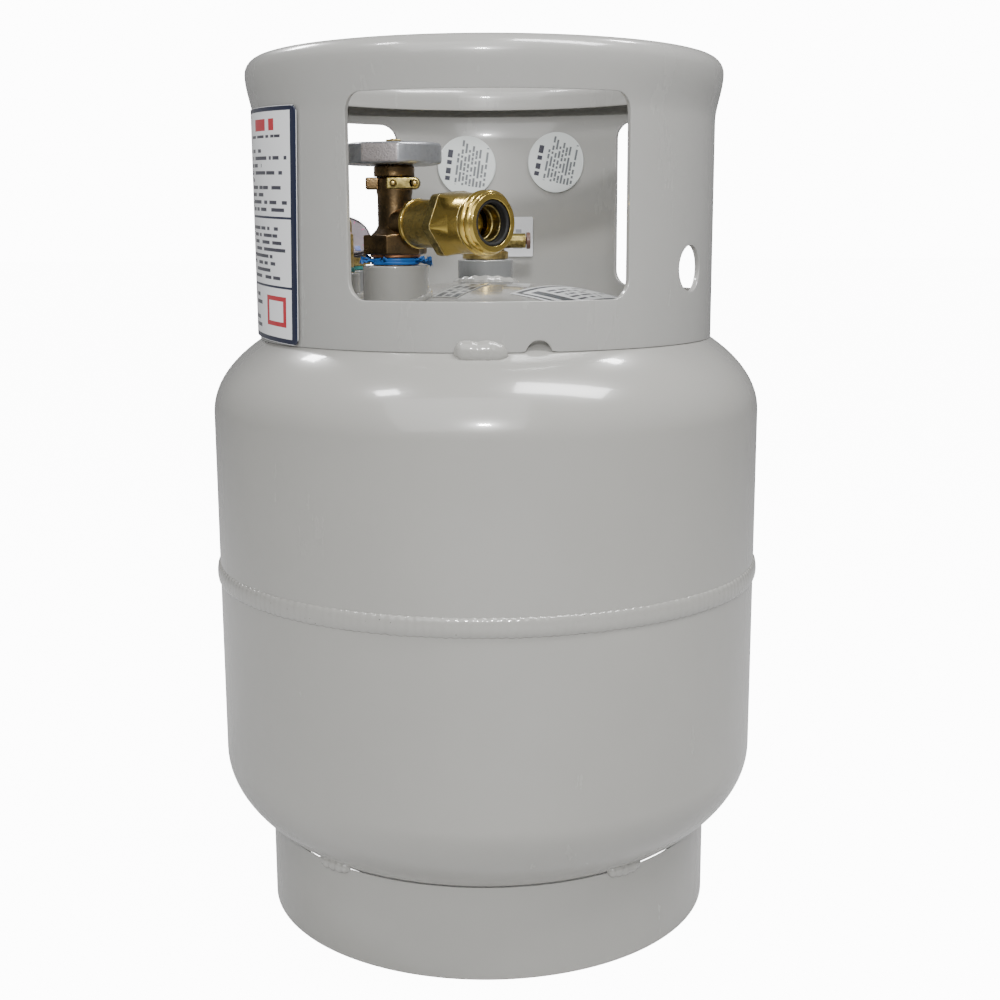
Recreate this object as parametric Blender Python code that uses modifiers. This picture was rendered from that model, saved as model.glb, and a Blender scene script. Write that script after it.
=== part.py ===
"""Steel propane cylinder with a handhold collar, service valve, quick coupling, relief valve,
liquid level vent and float gauge.

Frame: origin on the floor at the centre of the foot ring, +Z up the cylinder's axis, and -Y towards
the front window of the collar.  Sizes are written in millimetres and scaled by MM into metres.
An angle "around" the cylinder is counted in degrees from the front (-Y) towards +X.
"""

import math

import bmesh
import bpy
from mathutils import Matrix, Vector

MM = 0.001
GAP = 0.3

# Pressure vessel
BODY_RADIUS = 155.0
WALL = 3.0
SHELL_STEPS = 48
UPPER_TANGENT = 290.7
UPPER_HEAD_HEIGHT = 70.9
LOWER_TANGENT = 94.7
LOWER_HEAD_HEIGHT = 75.0
GIRTH_JOINT = 200.1
GIRTH_BEAD_WIDTH = 10.8
GIRTH_BEAD_HEIGHT = 1.6
BACKING_RING_WIDTH = 22.0
BACKING_RING_WALL = 2.0

# Foot ring
FOOT_RADIUS = 129.3
FOOT_WALL = 2.8
FOOT_ROUND = 0.7
FOOT_WELD_ANGLES = (-40.0, 34.0, 130.0, -130.0)

# Collar
COLLAR_RADIUS = 127.8
COLLAR_WALL = 2.8
COLLAR_FLARE_START = 448.0
COLLAR_ROLL_RADIUS = 7.3
COLLAR_ROLL_CENTRE = (123.2, 473.2)
COLLAR_LIP_END = 465.4
WINDOW_BOTTOM = 356.3
WINDOW_TOP = 456.6
WINDOW_CORNER = 9.5
WINDOW_SPANS = ((-32.2, 34.0), (88.0, 139.0), (-153.4, -104.0))
ROUND_HOLE = (57.1, 370.3, 12.0)
DRAIN_NOTCH = (11.8, 330.6, 6.6)
COLLAR_WELD_ANGLES = (-1.2, 118.8, -121.2)

# Bosses on the upper head: name, x, y, outer radius, bore radius, bottom, top
SERVICE_BOSS = ("service_boss", -48.0, -52.0, 17.5, 12.3, 342.0, 372.2)
RELIEF_BOSS = ("relief_boss", 0.0, 61.0, 17.0, 12.3, 345.0, 373.0)
GAUGE_BOSS = ("gauge_boss", -82.5, 22.0, 15.5, 12.3, 335.0, 368.0)
VENT_BOSS = ("vent_boss", -80.2, -8.0, 9.3, 5.6, 341.0, 367.2)
BOSSES = (SERVICE_BOSS, RELIEF_BOSS, GAUGE_BOSS, VENT_BOSS)

# Service valve
SHANK_RADIUS = 11.9
BASE_HEX_FLATS = 30.2
BASE_HEX = (377.8, 388.2)
BASE_HEX_TURN = -11.4
COLUMN_RADIUS = 9.1
COLUMN_TOP = 418.0
LUG_BAR = (411.6, 418.0)
LUG_FRONT = 10.0
LUG_EAR = 10.8
LOCK_PIN_OFFSETS = (0.0, 11.2)
SEAT_LEVEL = 384.5
SEAT_BORE = 4.0
CHAMBER_RADIUS = 6.0
STEM_RADIUS = 3.0
HANDWHEEL = (424.6, 434.6, 25.4)
HANDWHEEL_FLATS = (-15.0, 105.0, 225.0)
FLAT_SPAN = 45.0

# Outlet and quick coupling, along the outlet axis from the valve's axis
OUTLET_LEVEL = 393.8
OUTLET_AROUND = 42.4
OUTLET_END = 17.4
COUPLING_FACE = 77.4
COUPLING_HEX = (42.0, 48.5)
COUPLING_HEX_TURN = -23.3

# Relief valve
RELIEF_OUTLET_LEVEL = 384.2

# Float gauge
GAUGE_PIVOT_LEVEL = 205.0
FLOAT_ARM_LENGTH = 98.0
FLOAT_REST_DIP = 52.0
GAUGE_HEAD_BASE = (-82.5, 22.0, 382.0)
GAUGE_HEAD_FACING = (0.36, -0.70, 0.62)


# ---------------------------------------------------------------- scene, materials and small tools


def empty_scene():
    """Remove every object of the startup scene."""
    for thing in list(bpy.data.objects):
        bpy.data.objects.remove(thing)


def collection(name):
    """Make a collection under the scene's own."""
    made = bpy.data.collections.new(name)
    bpy.context.scene.collection.children.link(made)
    return made


empty_scene()
PARTS = collection("propane_cylinder")
TOOLS = collection("cutters")


def finish(name, colour, roughness, metallic=0.0, alpha=1.0):
    """A Principled material."""
    material = bpy.data.materials.new(name)
    material.use_nodes = True
    shader = material.node_tree.nodes["Principled BSDF"]
    shader.inputs["Base Color"].default_value = (*colour, 1.0)
    shader.inputs["Roughness"].default_value = roughness
    shader.inputs["Metallic"].default_value = metallic
    shader.inputs["Alpha"].default_value = alpha
    return material


PAINT = finish("grey_enamel", (0.43, 0.43, 0.41), 0.25)
WELD = finish("painted_weld", (0.45, 0.45, 0.43), 0.2)
BARE_STEEL = finish("bare_steel", (0.35, 0.34, 0.33), 0.5, 1.0)
BRASS = finish("bright_brass", (0.72, 0.52, 0.16), 0.25, 1.0)
BRONZE = finish("dark_bronze", (0.22, 0.14, 0.07), 0.35, 1.0)
CAST_GREY = finish("cast_aluminium", (0.35, 0.36, 0.38), 0.5, 0.7)
RUBBER = finish("black_rubber", (0.02, 0.02, 0.02), 0.6)
TAPE = finish("blue_tape", (0.02, 0.16, 0.45), 0.4)
NYLON = finish("white_nylon", (0.75, 0.74, 0.70), 0.4)
SPRING_STEEL = finish("spring_steel", (0.45, 0.45, 0.46), 0.3, 1.0)
DIAL = finish("dial_face", (0.32, 0.27, 0.31), 0.4)
NEEDLE = finish("needle_red", (0.55, 0.05, 0.12), 0.4)
CLEAR = finish("clear_lens", (0.9, 0.88, 0.9), 0.1, 0.0, 0.35)
CAP_BROWN = finish("brown_cap", (0.16, 0.09, 0.06), 0.5)
LABEL = finish("white_label", (0.82, 0.83, 0.84), 0.4)


def place(mesh, name, material=None):
    """Put a mesh in the scene: a part when it has a material, a hidden cutter when it has none."""
    thing = bpy.data.objects.new(name, mesh)
    if material is None:
        TOOLS.objects.link(thing)
        thing.hide_render = True
        thing.display_type = "WIRE"
        return thing
    PARTS.objects.link(thing)
    mesh.materials.append(material)
    if isinstance(mesh, bpy.types.Mesh):
        mesh.shade_smooth()
        mesh.set_sharp_from_angle(angle=math.radians(35.0))
    return thing


def move(thing, x, y, z=0.0):
    """Set an object's place in millimetres."""
    thing.location = (x * MM, y * MM, z * MM)
    return thing


def around(degrees, radius, level):
    """Point on a circle about the cylinder's axis, counted from the front."""
    angle = math.radians(degrees)
    return Vector((radius * math.sin(angle), -radius * math.cos(angle), level))


def arc(centre, radius, start, end, count):
    """Points on an arc in a profile's plane, from one angle to another in degrees."""
    points = []
    for step in range(count + 1):
        angle = math.radians(start + (end - start) * step / count)
        points.append((centre[0] + radius * math.cos(angle), centre[1] + radius * math.sin(angle)))
    return points


def turned(name, profile, material=None, steps=16):
    """Revolve a profile of (radius, level) points that runs down its outer side.

    A profile that starts and ends on the axis stays open there; any other one is closed on itself.
    """
    mesh = bpy.data.meshes.new(name)
    shape = bmesh.new()
    verts = [shape.verts.new((r * MM, 0.0, z * MM)) for r, z in profile]
    for first, second in zip(verts, verts[1:]):
        shape.edges.new((first, second))
    if profile[0][0] > 0.0 or profile[-1][0] > 0.0:
        shape.edges.new((verts[-1], verts[0]))
    shape.to_mesh(mesh)
    shape.free()
    thing = bpy.data.objects.new(name, mesh)
    bpy.data.objects.remove(thing)
    thing = place(mesh, name, material)
    screw = thing.modifiers.new("turn", "SCREW")
    screw.steps = steps
    screw.render_steps = steps
    screw.use_merge_vertices = True
    screw.merge_threshold = 0.00001
    screw.use_smooth_shade = True
    return thing


def rod(name, radius, low, high, material=None, steps=16):
    """Solid round bar between two levels."""
    return turned(name, [(0.0, high), (radius, high), (radius, low), (0.0, low)], material, steps)


def tube(name, inner, outer, low, high, material=None, steps=16):
    """Round tube between two levels."""
    return turned(name, [(outer, high), (outer, low), (inner, low), (inner, high)], material, steps)


def hexagon(name, flats, low, high, turn=0.0, material=None):
    """Hexagonal bar; one corner points to the front when turn is zero."""
    mesh = bpy.data.meshes.new(name)
    shape = bmesh.new()
    radius = flats / 2.0 / math.cos(math.radians(30.0)) * MM
    bmesh.ops.create_cone(
        shape, cap_ends=True, segments=6, radius1=radius, radius2=radius, depth=(high - low) * MM
    )
    spin = Matrix.Rotation(math.radians(turn), 4, "Z")
    lift = Matrix.Translation((0.0, 0.0, (high + low) / 2.0 * MM))
    bmesh.ops.transform(shape, matrix=lift @ spin, verts=shape.verts)
    shape.to_mesh(mesh)
    shape.free()
    return place(mesh, name, material)


def block(name, size, centre, material=None):
    """Rectangular block."""
    mesh = bpy.data.meshes.new(name)
    shape = bmesh.new()
    bmesh.ops.create_cube(shape, size=1.0)
    scale = Matrix.Diagonal((size[0] * MM, size[1] * MM, size[2] * MM, 1.0))
    shift = Matrix.Translation([value * MM for value in centre])
    bmesh.ops.transform(shape, matrix=shift @ scale, verts=shape.verts)
    shape.to_mesh(mesh)
    shape.free()
    return place(mesh, name, material)


def combine(thing, tool, operation):
    """Boolean with the exact solver."""
    step = thing.modifiers.new(operation.lower(), "BOOLEAN")
    step.operation = operation
    step.object = tool
    step.solver = "EXACT"
    return thing


def cut(thing, *tools):
    """Cut each tool out of an object."""
    for tool in tools:
        combine(thing, tool, "DIFFERENCE")
    return thing


def fuse(thing, *tools):
    """Join each tool to an object."""
    for tool in tools:
        combine(thing, tool, "UNION")
    return thing


def point_out(thing, degrees, level=0.0, base=(0.0, 0.0)):
    """Lay an object's own +Z along a horizontal direction, with its own +Y upright."""
    thing.rotation_euler = (math.radians(90.0), 0.0, math.radians(degrees))
    return move(thing, base[0], base[1], level)


def axis_empty(name, position, rotation=(0.0, 0.0, 0.0)):
    """Empty on a joint's axis, to carry the pieces that turn or slide there."""
    empty = bpy.data.objects.new(name, None)
    TOOLS.objects.link(empty)
    move(empty, *position)
    empty.rotation_euler = rotation
    return empty


def carry(empty, *things):
    """Parent objects to an empty that stands on their joint's axis; they keep local places."""
    for thing in things:
        thing.parent = empty


# ------------------------------------------------------------------------------- vessel and skirts


def upper_head(radius):
    """Level of the upper head's outer face at a distance from the axis."""
    return UPPER_TANGENT + UPPER_HEAD_HEIGHT * math.sqrt(max(0.0, 1.0 - (radius / BODY_RADIUS) ** 2))


def lower_head(radius):
    """Level of the lower head's outer face at a distance from the axis."""
    return LOWER_TANGENT - LOWER_HEAD_HEIGHT * math.sqrt(max(0.0, 1.0 - (radius / BODY_RADIUS) ** 2))


def head_curve(radius, tangent, height, count=8):
    """Half ellipse from the crown on the axis out to the tangent line."""
    points = [(0.0, tangent + height)]
    for step in range(1, count + 1):
        angle = math.radians(90.0 - 90.0 * step / count)
        points.append((radius * math.cos(angle), tangent + height * math.sin(angle)))
    return points


def boss_holes():
    """Clearance holes through the upper head, one for each boss."""
    holes = []
    for name, x, y, outer, _bore, low, high in BOSSES:
        hole = rod(name + "_hole", outer + GAP, low - 20.0, high + 20.0)
        holes.append(move(hole, x, y))
    return holes


def make_vessel():
    """Two drawn shells, the girth weld that joins them and its backing ring."""
    inner = BODY_RADIUS - WALL
    upper = head_curve(BODY_RADIUS, UPPER_TANGENT, UPPER_HEAD_HEIGHT)
    upper += [(BODY_RADIUS, GIRTH_JOINT + 0.2), (inner, GIRTH_JOINT + 0.2)]
    upper += list(reversed(head_curve(inner, UPPER_TANGENT, UPPER_HEAD_HEIGHT - WALL)))
    shell = turned("upper_shell", upper, PAINT, SHELL_STEPS)
    cut(shell, *boss_holes())
    lower = head_curve(inner, LOWER_TANGENT, -LOWER_HEAD_HEIGHT + WALL)
    lower += [(inner, GIRTH_JOINT - 0.2), (BODY_RADIUS, GIRTH_JOINT - 0.2)]
    lower += list(reversed(head_curve(BODY_RADIUS, LOWER_TANGENT, -LOWER_HEAD_HEIGHT)))
    turned("lower_shell", lower, PAINT, SHELL_STEPS)
    half = GIRTH_BEAD_WIDTH / 2.0
    base = BODY_RADIUS + GAP
    bead = [(base + 0.2, GIRTH_JOINT + half), (base + GIRTH_BEAD_HEIGHT * 0.8, GIRTH_JOINT + half * 0.6)]
    bead += [(base + GIRTH_BEAD_HEIGHT, GIRTH_JOINT)]
    bead += [(base + GIRTH_BEAD_HEIGHT * 0.8, GIRTH_JOINT - half * 0.6), (base + 0.2, GIRTH_JOINT - half)]
    bead += [(base, GIRTH_JOINT - half), (base, GIRTH_JOINT + half)]
    turned("girth_weld", bead, WELD, SHELL_STEPS)
    ring_outer = inner - GAP
    low = GIRTH_JOINT - BACKING_RING_WIDTH / 2.0
    high = GIRTH_JOINT + BACKING_RING_WIDTH / 2.0
    tube("backing_ring", ring_outer - BACKING_RING_WALL, ring_outer, low, high, BARE_STEEL, SHELL_STEPS)


def make_foot_ring():
    """Rolled steel skirt that the cylinder stands on, sloped at the top to meet the lower head."""
    outer = FOOT_RADIUS
    inner = FOOT_RADIUS - FOOT_WALL
    profile = [(outer - 0.2, lower_head(outer) - 0.5), (outer, 40.0), (outer, FOOT_ROUND)]
    profile += [(outer - FOOT_ROUND, 0.0), (inner + FOOT_ROUND, 0.0), (inner, FOOT_ROUND)]
    profile += [(inner, lower_head(inner) - 0.5)]
    turned("foot_ring", profile, PAINT, SHELL_STEPS)


def weld_blob(name, length, width, degrees, radius, level, *clearances):
    """Short weld bead lying across a corner, trimmed clear of the pieces that it joins."""
    mesh = bpy.data.meshes.new(name)
    shape = bmesh.new()
    bmesh.ops.create_uvsphere(shape, u_segments=12, v_segments=8, radius=1.0)
    size = Matrix.Diagonal((length / 2.0 * MM, width / 2.0 * MM, width / 2.0 * MM, 1.0))
    turn = Matrix.Rotation(math.radians(degrees), 4, "Z")
    shift = Matrix.Translation(around(degrees, radius, level) * MM)
    bmesh.ops.transform(shape, matrix=shift @ turn @ size, verts=shape.verts)
    shape.to_mesh(mesh)
    shape.free()
    return cut(place(mesh, name, WELD), *clearances)


def make_foot_welds():
    """Weld beads in the corner between the foot ring and the lower head."""
    outer = FOOT_RADIUS + GAP
    ring = tube("foot_ring_clearance", outer - 20.0, outer, -5.0, lower_head(FOOT_RADIUS) + 1.0,
                steps=SHELL_STEPS)
    head = head_curve(BODY_RADIUS + GAP, LOWER_TANGENT, -LOWER_HEAD_HEIGHT - GAP)
    solid = [(0.0, GIRTH_JOINT), (BODY_RADIUS + GAP, GIRTH_JOINT)] + list(reversed(head))
    shell = turned("lower_head_clearance", solid, steps=SHELL_STEPS)
    level = lower_head(FOOT_RADIUS) + 0.5
    for number, degrees in enumerate(FOOT_WELD_ANGLES, 1):
        weld_blob(f"foot_weld_{number}", 22.0, 9.0, degrees, outer + 0.4, level, ring, shell)


def wrapped_patch(name, radius, span, levels, corner, material=None, wall=0.4, lean=0.0):
    """Rounded rectangle bent round the cylinder's axis and given a wall.

    The rows of a grid are shortened near the top and bottom edge, which rounds the corners.
    """
    columns = max(4, round((span[1] - span[0]) / 7.0))
    rows = 10
    mesh = bpy.data.meshes.new(name)
    shape = bmesh.new()
    bmesh.ops.create_grid(shape, x_segments=columns, y_segments=rows, size=1.0)
    half_width = math.radians(span[1] - span[0]) / 2.0 * radius
    half_height = (levels[1] - levels[0]) / 2.0
    middle = math.radians(span[0] + span[1]) / 2.0
    level = (levels[0] + levels[1]) / 2.0
    corner_rows = 4
    for vert in shape.verts:
        row = round((vert.co.y + 1.0) / 2.0 * rows)
        edge_row = min(row, rows - row)
        side = 1.0 if row > rows / 2 else -1.0
        if edge_row < corner_rows:
            angle = math.radians(90.0 * edge_row / corner_rows)
            across = half_width - corner * (1.0 - math.sin(angle))
            height = side * (half_height - corner * (1.0 - math.cos(angle)))
        else:
            across = half_width
            height = (half_height - corner) * (row - rows / 2) / (rows / 2 - corner_rows)
        along = vert.co.x * across
        turn = math.radians(lean)
        shifted = along * math.cos(turn) - height * math.sin(turn)
        height = along * math.sin(turn) + height * math.cos(turn)
        angle = middle + shifted / radius
        vert.co = Vector((radius * math.sin(angle), -radius * math.cos(angle), level + height)) * MM
    shape.to_mesh(mesh)
    shape.free()
    thing = place(mesh, name, material)
    solid = thing.modifiers.new("wall", "SOLIDIFY")
    solid.thickness = wall * MM
    solid.offset = 0.0
    return thing


def strip_outline(path, wall):
    """Both sides of a strip of sheet that follows a path, as one closed outline."""
    left = []
    right = []
    for index, point in enumerate(path):
        before = Vector(path[max(index - 1, 0)])
        after = Vector(path[min(index + 1, len(path) - 1)])
        along = (after - before).normalized()
        normal = Vector((-along.y, along.x)) * wall / 2.0
        left.append((point[0] + normal.x, point[1] + normal.y))
        right.append((point[0] - normal.x, point[1] - normal.y))
    return left + list(reversed(right))


def make_collar():
    """Rolled collar: flared and curled over at the top, with hand windows, a hole and a notch."""
    middle = COLLAR_RADIUS - COLLAR_WALL / 2.0
    centre = COLLAR_ROLL_CENTRE
    path = [(centre[0] - COLLAR_ROLL_RADIUS, COLLAR_LIP_END)]
    path += arc(centre, COLLAR_ROLL_RADIUS, 180.0, 0.0, 6)
    path += [(middle + 2.5, 464.0), (middle + 0.8, 456.0), (middle, COLLAR_FLARE_START), (middle, 360.0)]
    outline = strip_outline(path, COLLAR_WALL)
    count = len(path)
    outer = outline[:count] + [(COLLAR_RADIUS, upper_head(COLLAR_RADIUS) + 0.5)]
    inner_radius = COLLAR_RADIUS - COLLAR_WALL
    inner = [(inner_radius, upper_head(inner_radius) + 0.5)] + outline[count:]
    collar = turned("collar", outer + inner, PAINT, SHELL_STEPS)
    for number, span in enumerate(WINDOW_SPANS, 1):
        levels = (WINDOW_BOTTOM, WINDOW_TOP)
        cut(collar, wrapped_patch(f"window_{number}", middle, span, levels, WINDOW_CORNER, wall=16.0))
    for name, (degrees, level, radius) in (("round_hole", ROUND_HOLE), ("drain_notch", DRAIN_NOTCH)):
        drill = rod(name, radius, 100.0, 150.0)
        cut(collar, point_out(drill, degrees, level))


def make_collar_welds():
    """Weld beads at the foot of the collar, on the outside."""
    outer = COLLAR_RADIUS + GAP
    wall = tube("collar_clearance", outer - 15.0, outer, 320.0, 380.0, steps=SHELL_STEPS)
    head = head_curve(BODY_RADIUS + GAP, UPPER_TANGENT, UPPER_HEAD_HEIGHT + GAP)
    solid = head + [(BODY_RADIUS + GAP, GIRTH_JOINT), (0.0, GIRTH_JOINT)]
    shell = turned("upper_head_clearance", solid, steps=SHELL_STEPS)
    level = upper_head(outer) + 1.2
    for number, degrees in enumerate(COLLAR_WELD_ANGLES, 1):
        weld_blob(f"collar_weld_{number}", 27.0, 10.5, degrees, outer + 0.2, level, wall, shell)


def make_bosses():
    """Threaded steel bosses welded through the upper head."""
    for name, x, y, outer, bore, low, high in BOSSES:
        profile = [(outer - 1.0, high), (outer, high - 1.0), (outer, low), (bore, low), (bore, high)]
        move(turned(name, profile, PAINT), x, y)


# ----------------------------------------------------------------------------------- service valve


def make_valve_body():
    """Forged valve body: threaded shank, hexagon, column with a lug bar, and the side outlet."""
    x, y = SERVICE_BOSS[1:3]
    profile = [(0.0, COLUMN_TOP), (COLUMN_RADIUS, COLUMN_TOP), (COLUMN_RADIUS, 388.0)]
    profile += [(13.2, 387.9), (13.2, 376.5), (SHANK_RADIUS, 376.4), (SHANK_RADIUS, 353.0), (0.0, 353.0)]
    body = move(turned("valve_body", profile, BRONZE), x, y)
    nut = move(hexagon("base_hexagon", BASE_HEX_FLATS, *BASE_HEX, turn=BASE_HEX_TURN), x, y)
    height = LUG_BAR[1] - LUG_BAR[0]
    level = sum(LUG_BAR) / 2.0
    lug = move(block("left_lug", (13.0, 9.0, height), (-8.5, 0.0, level)), x, y)
    bar = move(block("front_lug", (14.5, LUG_FRONT, height), (LUG_EAR - 7.25, -LUG_FRONT / 2.0, level)), x, y)
    ear = rod("lug_ear", height / 2.0, 0.0, LUG_FRONT)
    ear.rotation_euler = (math.radians(90.0), 0.0, 0.0)
    move(ear, x + LUG_EAR, y, level)
    outlet = point_out(rod("outlet_neck", 8.2, 0.0, OUTLET_END), OUTLET_AROUND, OUTLET_LEVEL, (x, y))
    fuse(body, nut, lug, bar, ear, outlet)
    stepped = [(0.0, 430.0), (CHAMBER_RADIUS, 430.0), (CHAMBER_RADIUS, SEAT_LEVEL), (SEAT_BORE, SEAT_LEVEL)]
    stepped += [(SEAT_BORE, 368.0), (5.6, 366.0), (5.6, 340.0), (0.0, 340.0)]
    bore = move(turned("valve_bore", stepped), x, y)
    port = point_out(rod("outlet_port", 4.2, 1.0, 60.0), OUTLET_AROUND, OUTLET_LEVEL, (x, y))
    pins = []
    for number, offset in enumerate(LOCK_PIN_OFFSETS, 1):
        hole = rod(f"pin_hole_{number}", 1.5, 0.0, 20.0, steps=12)
        hole.rotation_euler = (math.radians(90.0), 0.0, 0.0)
        pins.append(move(hole, x + offset, y - LUG_FRONT + 1.8, level))
    cut(body, bore, port, *pins)


def make_lock_pins():
    """Two round-headed pins that lock the bonnet."""
    x, y = SERVICE_BOSS[1:3]
    for number, offset in enumerate(LOCK_PIN_OFFSETS, 1):
        head = [(0.0, 2.0)] + arc((0.0, 0.0), 2.0, 75.0, 0.0, 4)
        profile = head + [(1.2, 0.0), (1.2, -1.6), (0.0, -1.6)]
        pin = turned(f"lock_pin_{number}", profile, BRASS, steps=12)
        pin.rotation_euler = (math.radians(90.0), 0.0, 0.0)
        move(pin, x + offset, y - LUG_FRONT - GAP, sum(LUG_BAR) / 2.0)


def make_thread_tape():
    """Sealing tape that stands out between the boss and the valve body."""
    x, y = SERVICE_BOSS[1:3]
    top = SERVICE_BOSS[6]
    profile = [(13.0, 376.1), (13.3, 375.0), (13.3, top + 0.6), (13.0, top + GAP)]
    profile += [(SHANK_RADIUS + GAP, top + GAP), (SHANK_RADIUS + GAP, 376.1)]
    move(turned("thread_tape", profile, TAPE), x, y)


def make_valve_works():
    """Stem, handwheel and nut, the seat holder with its disc, the bonnet and its seal."""
    x, y = SERVICE_BOSS[1:3]
    stem_axis = axis_empty("handwheel_axis", (x, y, 0.0))
    profile = [(0.0, 437.8), (1.9, 437.8), (1.9, 434.2), (STEM_RADIUS, 434.2), (STEM_RADIUS, 403.6)]
    profile += [(4.4, 403.6), (4.4, 399.8), (STEM_RADIUS, 399.8), (STEM_RADIUS, 397.2), (0.0, 397.2)]
    stem = turned("valve_stem", profile, BRASS)
    tongue = block("stem_tongue", (4.0, 1.8, 7.6), (0.0, 0.0, 394.6))
    fuse(stem, tongue)
    nut = hexagon("handwheel_nut", 8.0, 434.6 + GAP, 437.2, material=BRASS)
    cut(nut, rod("nut_bore", 2.2, 430.0, 445.0))
    holder = rod("seat_holder", 5.5, SEAT_LEVEL + 2.6, 392.9, BRASS)
    cut(holder, block("holder_slot", (4.8, 2.6, 20.0), (0.0, 0.0, 398.2)))
    cut(holder, block("holder_slot_wide", (4.8, 2.6, 7.8), (0.0, 0.0, 390.4)))
    disc = rod("seat_disc", 5.2, SEAT_LEVEL + GAP, SEAT_LEVEL + 2.3, NYLON)
    wheel = make_handwheel()
    carry(stem_axis, stem, tongue, nut, holder, disc, wheel)
    for tool in [thing for thing in TOOLS.objects if thing.name in STEM_TOOLS]:
        tool.parent = stem_axis
    bonnet = [(0.0, 424.2), (9.8, 424.2), (10.8, 423.2), (10.8, 418.0 + GAP), (5.7, 418.0 + GAP)]
    bonnet += [(5.7, 404.0), (0.0, 404.0)]
    packing = move(turned("bonnet", bonnet, BRONZE), x, y)
    bore = [(0.0, 430.0), (4.8, 430.0), (4.8, 420.4), (STEM_RADIUS + GAP, 420.4)]
    bore += [(STEM_RADIUS + GAP, 400.0), (0.0, 400.0)]
    cut(packing, move(turned("bonnet_bore", bore), x, y))
    ring = [(3.9 + px, pz) for px, pz in arc((0.0, 422.0), 0.55, 90.0, -225.0, 7)]
    move(turned("stem_o_ring", ring, RUBBER), x, y)


STEM_TOOLS = ("stem_tongue", "nut_bore", "holder_slot", "holder_slot_wide", "wheel_bore")


def make_handwheel():
    """Cast wheel: a round outline flattened at three places, with a hub below and a bore."""
    low, high, radius = HANDWHEEL
    outline = []
    for step in range(48):
        degrees = step * 7.5
        reach = radius
        for flat in HANDWHEEL_FLATS:
            away = (degrees - flat + 180.0) % 360.0 - 180.0
            if abs(away) < FLAT_SPAN / 2.0:
                chord = radius * math.cos(math.radians(FLAT_SPAN / 2.0))
                reach = chord / math.cos(math.radians(away))
        outline.append(around(degrees, reach, 0.0) * MM)
    mesh = bpy.data.meshes.new("handwheel")
    shape = bmesh.new()
    base = shape.faces.new([shape.verts.new(point) for point in outline])
    grown = bmesh.ops.extrude_face_region(shape, geom=[base])
    moved = [item for item in grown["geom"] if isinstance(item, bmesh.types.BMVert)]
    bmesh.ops.translate(shape, verts=moved, vec=(0.0, 0.0, (high - low) * MM))
    bmesh.ops.translate(shape, verts=shape.verts, vec=(0.0, 0.0, low * MM))
    bmesh.ops.recalc_face_normals(shape, faces=shape.faces)
    shape.to_mesh(mesh)
    shape.free()
    wheel = place(mesh, "handwheel", CAST_GREY)
    edge = wheel.modifiers.new("rounded_rim", "BEVEL")
    edge.width = 1.6 * MM
    edge.segments = 1
    edge.limit_method = "ANGLE"
    edge.angle_limit = math.radians(60.0)
    cut(wheel, rod("wheel_bore", STEM_RADIUS + GAP, 420.0, 440.0))
    return wheel


def make_dip_tube():
    """Liquid withdrawal tube, from the valve's shank down to the lower head."""
    x, y = SERVICE_BOSS[1:3]
    profile = [(5.3, 366.0), (5.3, 40.0), (4.0, 40.0), (4.0, 366.0)]
    move(turned("dip_tube", profile, BARE_STEEL, steps=12), x, y)


# ---------------------------------------------------------------------------------- quick coupling


def make_coupling():
    """Quick coupling on the outlet: body with hexagon and nose, seal, retainer, spring, poppet and guide."""
    x, y = SERVICE_BOSS[1:3]
    rotation = (math.radians(90.0), 0.0, math.radians(OUTLET_AROUND))
    outlet = axis_empty("outlet_axis", (x, y, OUTLET_LEVEL), rotation)
    face = COUPLING_FACE
    rear = OUTLET_END + 0.3
    nose = [(0.0, face), (14.6, face), (16.2, face - 1.6), (16.2, face - 4.0), (15.2, face - 4.5)]
    nose += [(15.2, face - 5.2), (16.2, face - 5.7), (16.2, face - 9.0), (15.2, face - 10.0)]
    nose += [(15.2, COUPLING_HEX[1] + 11.5), (17.4, COUPLING_HEX[1] + 0.2), (17.0, COUPLING_HEX[1] - 0.6)]
    nose += [(12.3, COUPLING_HEX[1] - 0.6), (12.3, rear + 0.8)]
    nose += [(11.6, rear), (0.0, rear)]
    body = turned("coupling_body", nose, BRASS)
    hexa = hexagon("coupling_hexagon", 31.0, *COUPLING_HEX, turn=COUPLING_HEX_TURN)
    bore = [(0.0, 90.0), (11.4, 90.0), (11.4, face - 15.0), (8.9, face - 15.0), (8.9, 38.0), (4.6, 38.0)]
    bore += [(4.6, 10.0), (0.0, 10.0)]
    hollow = turned("coupling_bore", bore)
    fuse(body, hexa)
    cut(body, hollow)
    gasket = tube("coupling_seal", 9.6, 11.1, face - 14.7, face - 0.6, RUBBER)
    retainer = tube("coupling_retainer", 7.5, 9.3, face - 13.2, face - 4.5, BRASS)
    poppet = [(0.0, face - 12.0), (3.2, face - 12.4), (6.6, face - 15.0), (7.4, face - 17.0), (7.4, face - 20.0)]
    poppet += [(2.2, face - 20.4), (2.2, 44.0), (0.0, 44.0)]
    valve = turned("coupling_poppet", poppet, BRASS)
    guide = tube("coupling_guide", 2.6, 8.6, 39.0, 42.0, BRASS)
    spring = coil("coupling_spring", 5.6, 0.55, 43.0, face - 25.8, 5.0, SPRING_STEEL)
    carry(outlet, body, hexa, hollow, gasket, retainer, valve, guide, spring)


def coil(name, radius, wire, low, high, turns, material):
    """Compression spring, a wire wound at an even pitch between two levels."""
    curve = bpy.data.curves.new(name, "CURVE")
    curve.dimensions = "3D"
    curve.bevel_depth = wire * MM
    curve.bevel_resolution = 0
    curve.use_fill_caps = True
    steps = int(turns * 8)
    line = curve.splines.new("POLY")
    line.points.add(steps)
    start = low + wire
    rise = high - low - 2.0 * wire
    for step in range(steps + 1):
        angle = math.radians(45.0 * step)
        level = start + rise * step / steps
        point = (radius * math.cos(angle) * MM, radius * math.sin(angle) * MM, level * MM, 1.0)
        line.points[step].co = point
    return place(curve, name, material)


# ------------------------------------------------------------------------------------ relief valve


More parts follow.
